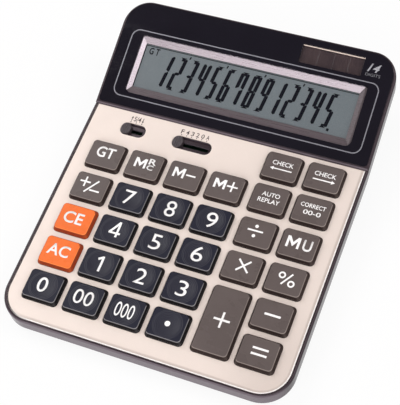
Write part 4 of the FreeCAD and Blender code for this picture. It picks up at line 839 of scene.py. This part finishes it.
# Half widths and heights over the board, from the dome's crown out, down and in again to the pill
DOME_SHAPE = ((2.5, 2.1), (2.7, 2.0), (4.2, SHEET_THICK), (4.2, 0.0), (3.6, 0.0), (2.4, 1.5), (1.5, 1.5), (1.5, 1.35))
openings = []
for short in GRID:
    middle = KEYPAD.inverted() @ key_place(short, 0).translation
    openings.append(ring_line(middle.x / MM, middle.y / MM, DOME_SHAPE[2][0]))
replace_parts(printed("key_sheet", [outline(SHEET_EDGE, *openings)], KEYPAD @ Matrix.Translation((0, 0, SHEET_LOW * MM)),
                    "calculator", sheet_grey, proud=SHEET_THICK, sunk=0.0), "keypad_membrane")
for short in GRID:
    build = bmesh.new()
    rings = [[build.verts.new((u, v, height)) for u, v in ring_line(0, 0, radius)] for radius, height in DOME_SHAPE]
    for upper, lower in zip(rings, rings[1:]):
        for i in range(len(upper)):
            build.faces.new((upper[i - 1], upper[i], lower[i], lower[i - 1]))
    build.faces.new(rings[0])
    build.faces.new(rings[-1])
    bmesh.ops.recalc_face_normals(build, faces=build.faces)
    foot = key_place(short, SHEET_LOW)
    build.transform(foot @ Matrix.Diagonal((MM, MM, MM, 1)))
    dome = piece("dome_" + short, build, "calculator", sheet_grey)
    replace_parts(dome, "keypad_membrane")
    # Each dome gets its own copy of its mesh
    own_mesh(dome)


# ---- Battery ----------------------------------------------------------------------
# One AA cell in a plain sleeve lies across the base behind the sliding cover, between
# a nickel-plated coil spring and two contact plates.
battery_sleeve, tree, shader = finish_named("battery_sleeve")
SLEEVE_END, BAND_FROM = 25.9, 14.0
along = parts(tree, millimetres(tree))["X"]
facing = parts(tree, put(tree, "ShaderNodeTexCoord").outputs["Normal"])["X"]
end = maths(tree, "MAXIMUM", between(tree, maths(tree, "ABSOLUTE", facing), 0.6, 0.8),
            maths(tree, "GREATER_THAN", along, SLEEVE_END))
band = maths(tree, "GREATER_THAN", along, BAND_FROM)
skin = use(tree, moulded_plastic, {
    "Colour": blend_colours(tree, band, (0.02, 0.03, 0.055), (0.45, 0.2, 0.07)),
    "Edge Colour": (0.5, 0.5, 0.52), "Roughness": 0.24, "Grain Size": 1.5, "Grain Depth": 0.01, "Edge Wear": 0.6})
feed(tree, shader, {
    "Base Color": blend_colours(tree, end, skin["Colour"], (0.62, 0.61, 0.6)), "Metallic": end,
    "Roughness": skin["Roughness"], "Normal": bumpy(tree, skin["Height"])})
dress(battery_sleeve, "battery")
nickel = metal("contact_nickel", (0.6, 0.58, 0.54), (0.8, 0.78, 0.75), roughness=0.26, line_length=10.0,
               line_width=0.1, line_depth=0.003)
dress(nickel, "negative_contact", "positive_contact", "battery_spring")


# ---- Underside --------------------------------------------------------------------
# Four rubber feet pressed into seats, recessed cross-head screws, and the grained cover
# that slides off to the back, with a raised arrow that shows which way.
foot_rubber = plastic("foot_rubber_black", (0.018, 0.018, 0.019), (0.05, 0.05, 0.052), roughness=0.75, grain_size=0.35,
                      grain_depth=0.03, wear=0.5, edge_width=0.4)
dress(foot_rubber, "feet")
zinc = metal("screw_zinc", (0.3, 0.3, 0.31), (0.55, 0.55, 0.56), roughness=0.34, line_length=1.5, line_width=0.1,
             line_depth=0.004)
dress(zinc, "case_screws", "board_screws")
dress(base_black, "battery_cover")
cover_low, cover_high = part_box("battery_cover")
cover_place = Matrix.Translation(((cover_low[0] + cover_high[0]) / 2, (cover_low[1] + cover_high[1]) / 2, cover_low[2]))
cover_place = cover_place @ Matrix.Rotation(math.pi, 4, "Y")
printed("cover_arrow", [outline([(-2.2, -6), (2.2, -6), (2.2, 0), (5, 0), (0, 6), (-5, 0), (-2.2, 0)])],
        cover_place, "battery_door", base_black, proud=0.25, sunk=0.05)


# ---- Studio -----------------------------------------------------------------------
# A plain white table under three large soft lamps, from the left, from the near side and
# from the far right, in a room with a bright near wall and a dim ceiling.
build = bmesh.new()
bmesh.ops.create_grid(build, x_segments=8, y_segments=8, size=3.0)
mesh = bpy.data.meshes.new("table_top")
build.to_mesh(mesh)
build.free()
table_top = bpy.data.objects.new("table_top", mesh)
bpy.context.scene.collection.objects.link(table_top)
table_top.location.z = -0.02 * MM
table_white, tree, shader = finish_named("table_white")
fleck = noise(tree, millimetres(tree), scale=0.05, detail=3.0)
feed(tree, shader, {"Base Color": blend_colours(tree, fleck, (0.88, 0.88, 0.88), (0.91, 0.91, 0.91)), "Roughness": 0.7})
ray = put(tree, "ShaderNodeLightPath").outputs
seen = maths(tree, "ADD", ray["Is Camera Ray"], ray["Is Glossy Ray"])
seen = maths(tree, "ADD", seen, ray["Is Transmission Ray"], clamp=True)
glow = put(tree, "ShaderNodeEmission", {"Color": (1, 1, 1)}).outputs[0]
mixed = put(tree, "ShaderNodeMixShader", {0: maths(tree, "MULTIPLY", seen, 0.9),
                                          1: tree.nodes["Principled BSDF"].outputs[0], 2: glow}).outputs[0]
feed(tree, tree.nodes["Material Output"].inputs, {"Surface": mixed})
table_top.data.materials.append(table_white)

room = bpy.data.worlds.new("room")
room.use_nodes = True
bpy.context.scene.world = room
tree = room.node_tree
toward = put(tree, "ShaderNodeTexCoord").outputs["Generated"]
NEAR_WALL, BRIGHT_CORNER = (0.25, -0.97, 0), tuple(Vector((0.6, -0.75, 0.3)).normalized())
wall = maths(tree, "MULTIPLY", between(tree, parts(tree, toward)["Z"], 0.45, 0.12),
             between(tree, dot(tree, toward, NEAR_WALL), -0.5, 0.1, 0.1))
bright = maths(tree, "MAXIMUM", wall, between(tree, dot(tree, toward, BRIGHT_CORNER), 0.28, 0.5))
light = blend_colours(tree, bright, (0.2, 0.16, 0.165), (1.0, 0.985, 0.975))
light = blend_colours(tree, put(tree, "ShaderNodeLightPath").outputs["Is Camera Ray"], light, (1, 1, 1))
feed(tree, tree.nodes["Background"].inputs, {"Color": light})


def soft_lamp(name, direction, distance, size, power):
    """A square soft lamp that looks at the calculator."""
    lamp = bpy.data.lights.new(name, "AREA")
    lamp.shape, lamp.size, lamp.energy = "SQUARE", size, power
    thing = bpy.data.objects.new(name, lamp)
    thing.location = Vector(direction).normalized() * distance
    thing.rotation_mode = "QUATERNION"
    thing.rotation_quaternion = Vector(direction).to_track_quat("Z", "Y")
    bpy.context.scene.collection.objects.link(thing)


soft_lamp("window_lamp", (-0.62, 0.2, 0.76), 2.4, 1.35, 22.5)
soft_lamp("near_lamp", (-0.15, -0.82, 0.5), 2.2, 1.3, 12.0)
soft_lamp("far_lamp", (0.6, 0.3, 0.74), 2.2, 1.2, 14.5)

# The camera stands above the near right corner, turned so that the keypad leans left.
camera = bpy.data.objects.new("camera", bpy.data.cameras.new("camera"))
camera.data.lens, camera.data.sensor_width = 102.54, 36.0
camera.matrix_world = Matrix((
    (0.92185, -0.25331, 0.29332, 0.17229),
    (0.36834, 0.80803, -0.45978, -0.27500),
    (-0.12054, 0.53189, 0.83819, 0.50755),
    (0, 0, 0, 1)))
bpy.context.scene.collection.objects.link(camera)
bpy.context.scene.camera = camera
bpy.context.scene.view_settings.view_transform = "Standard"
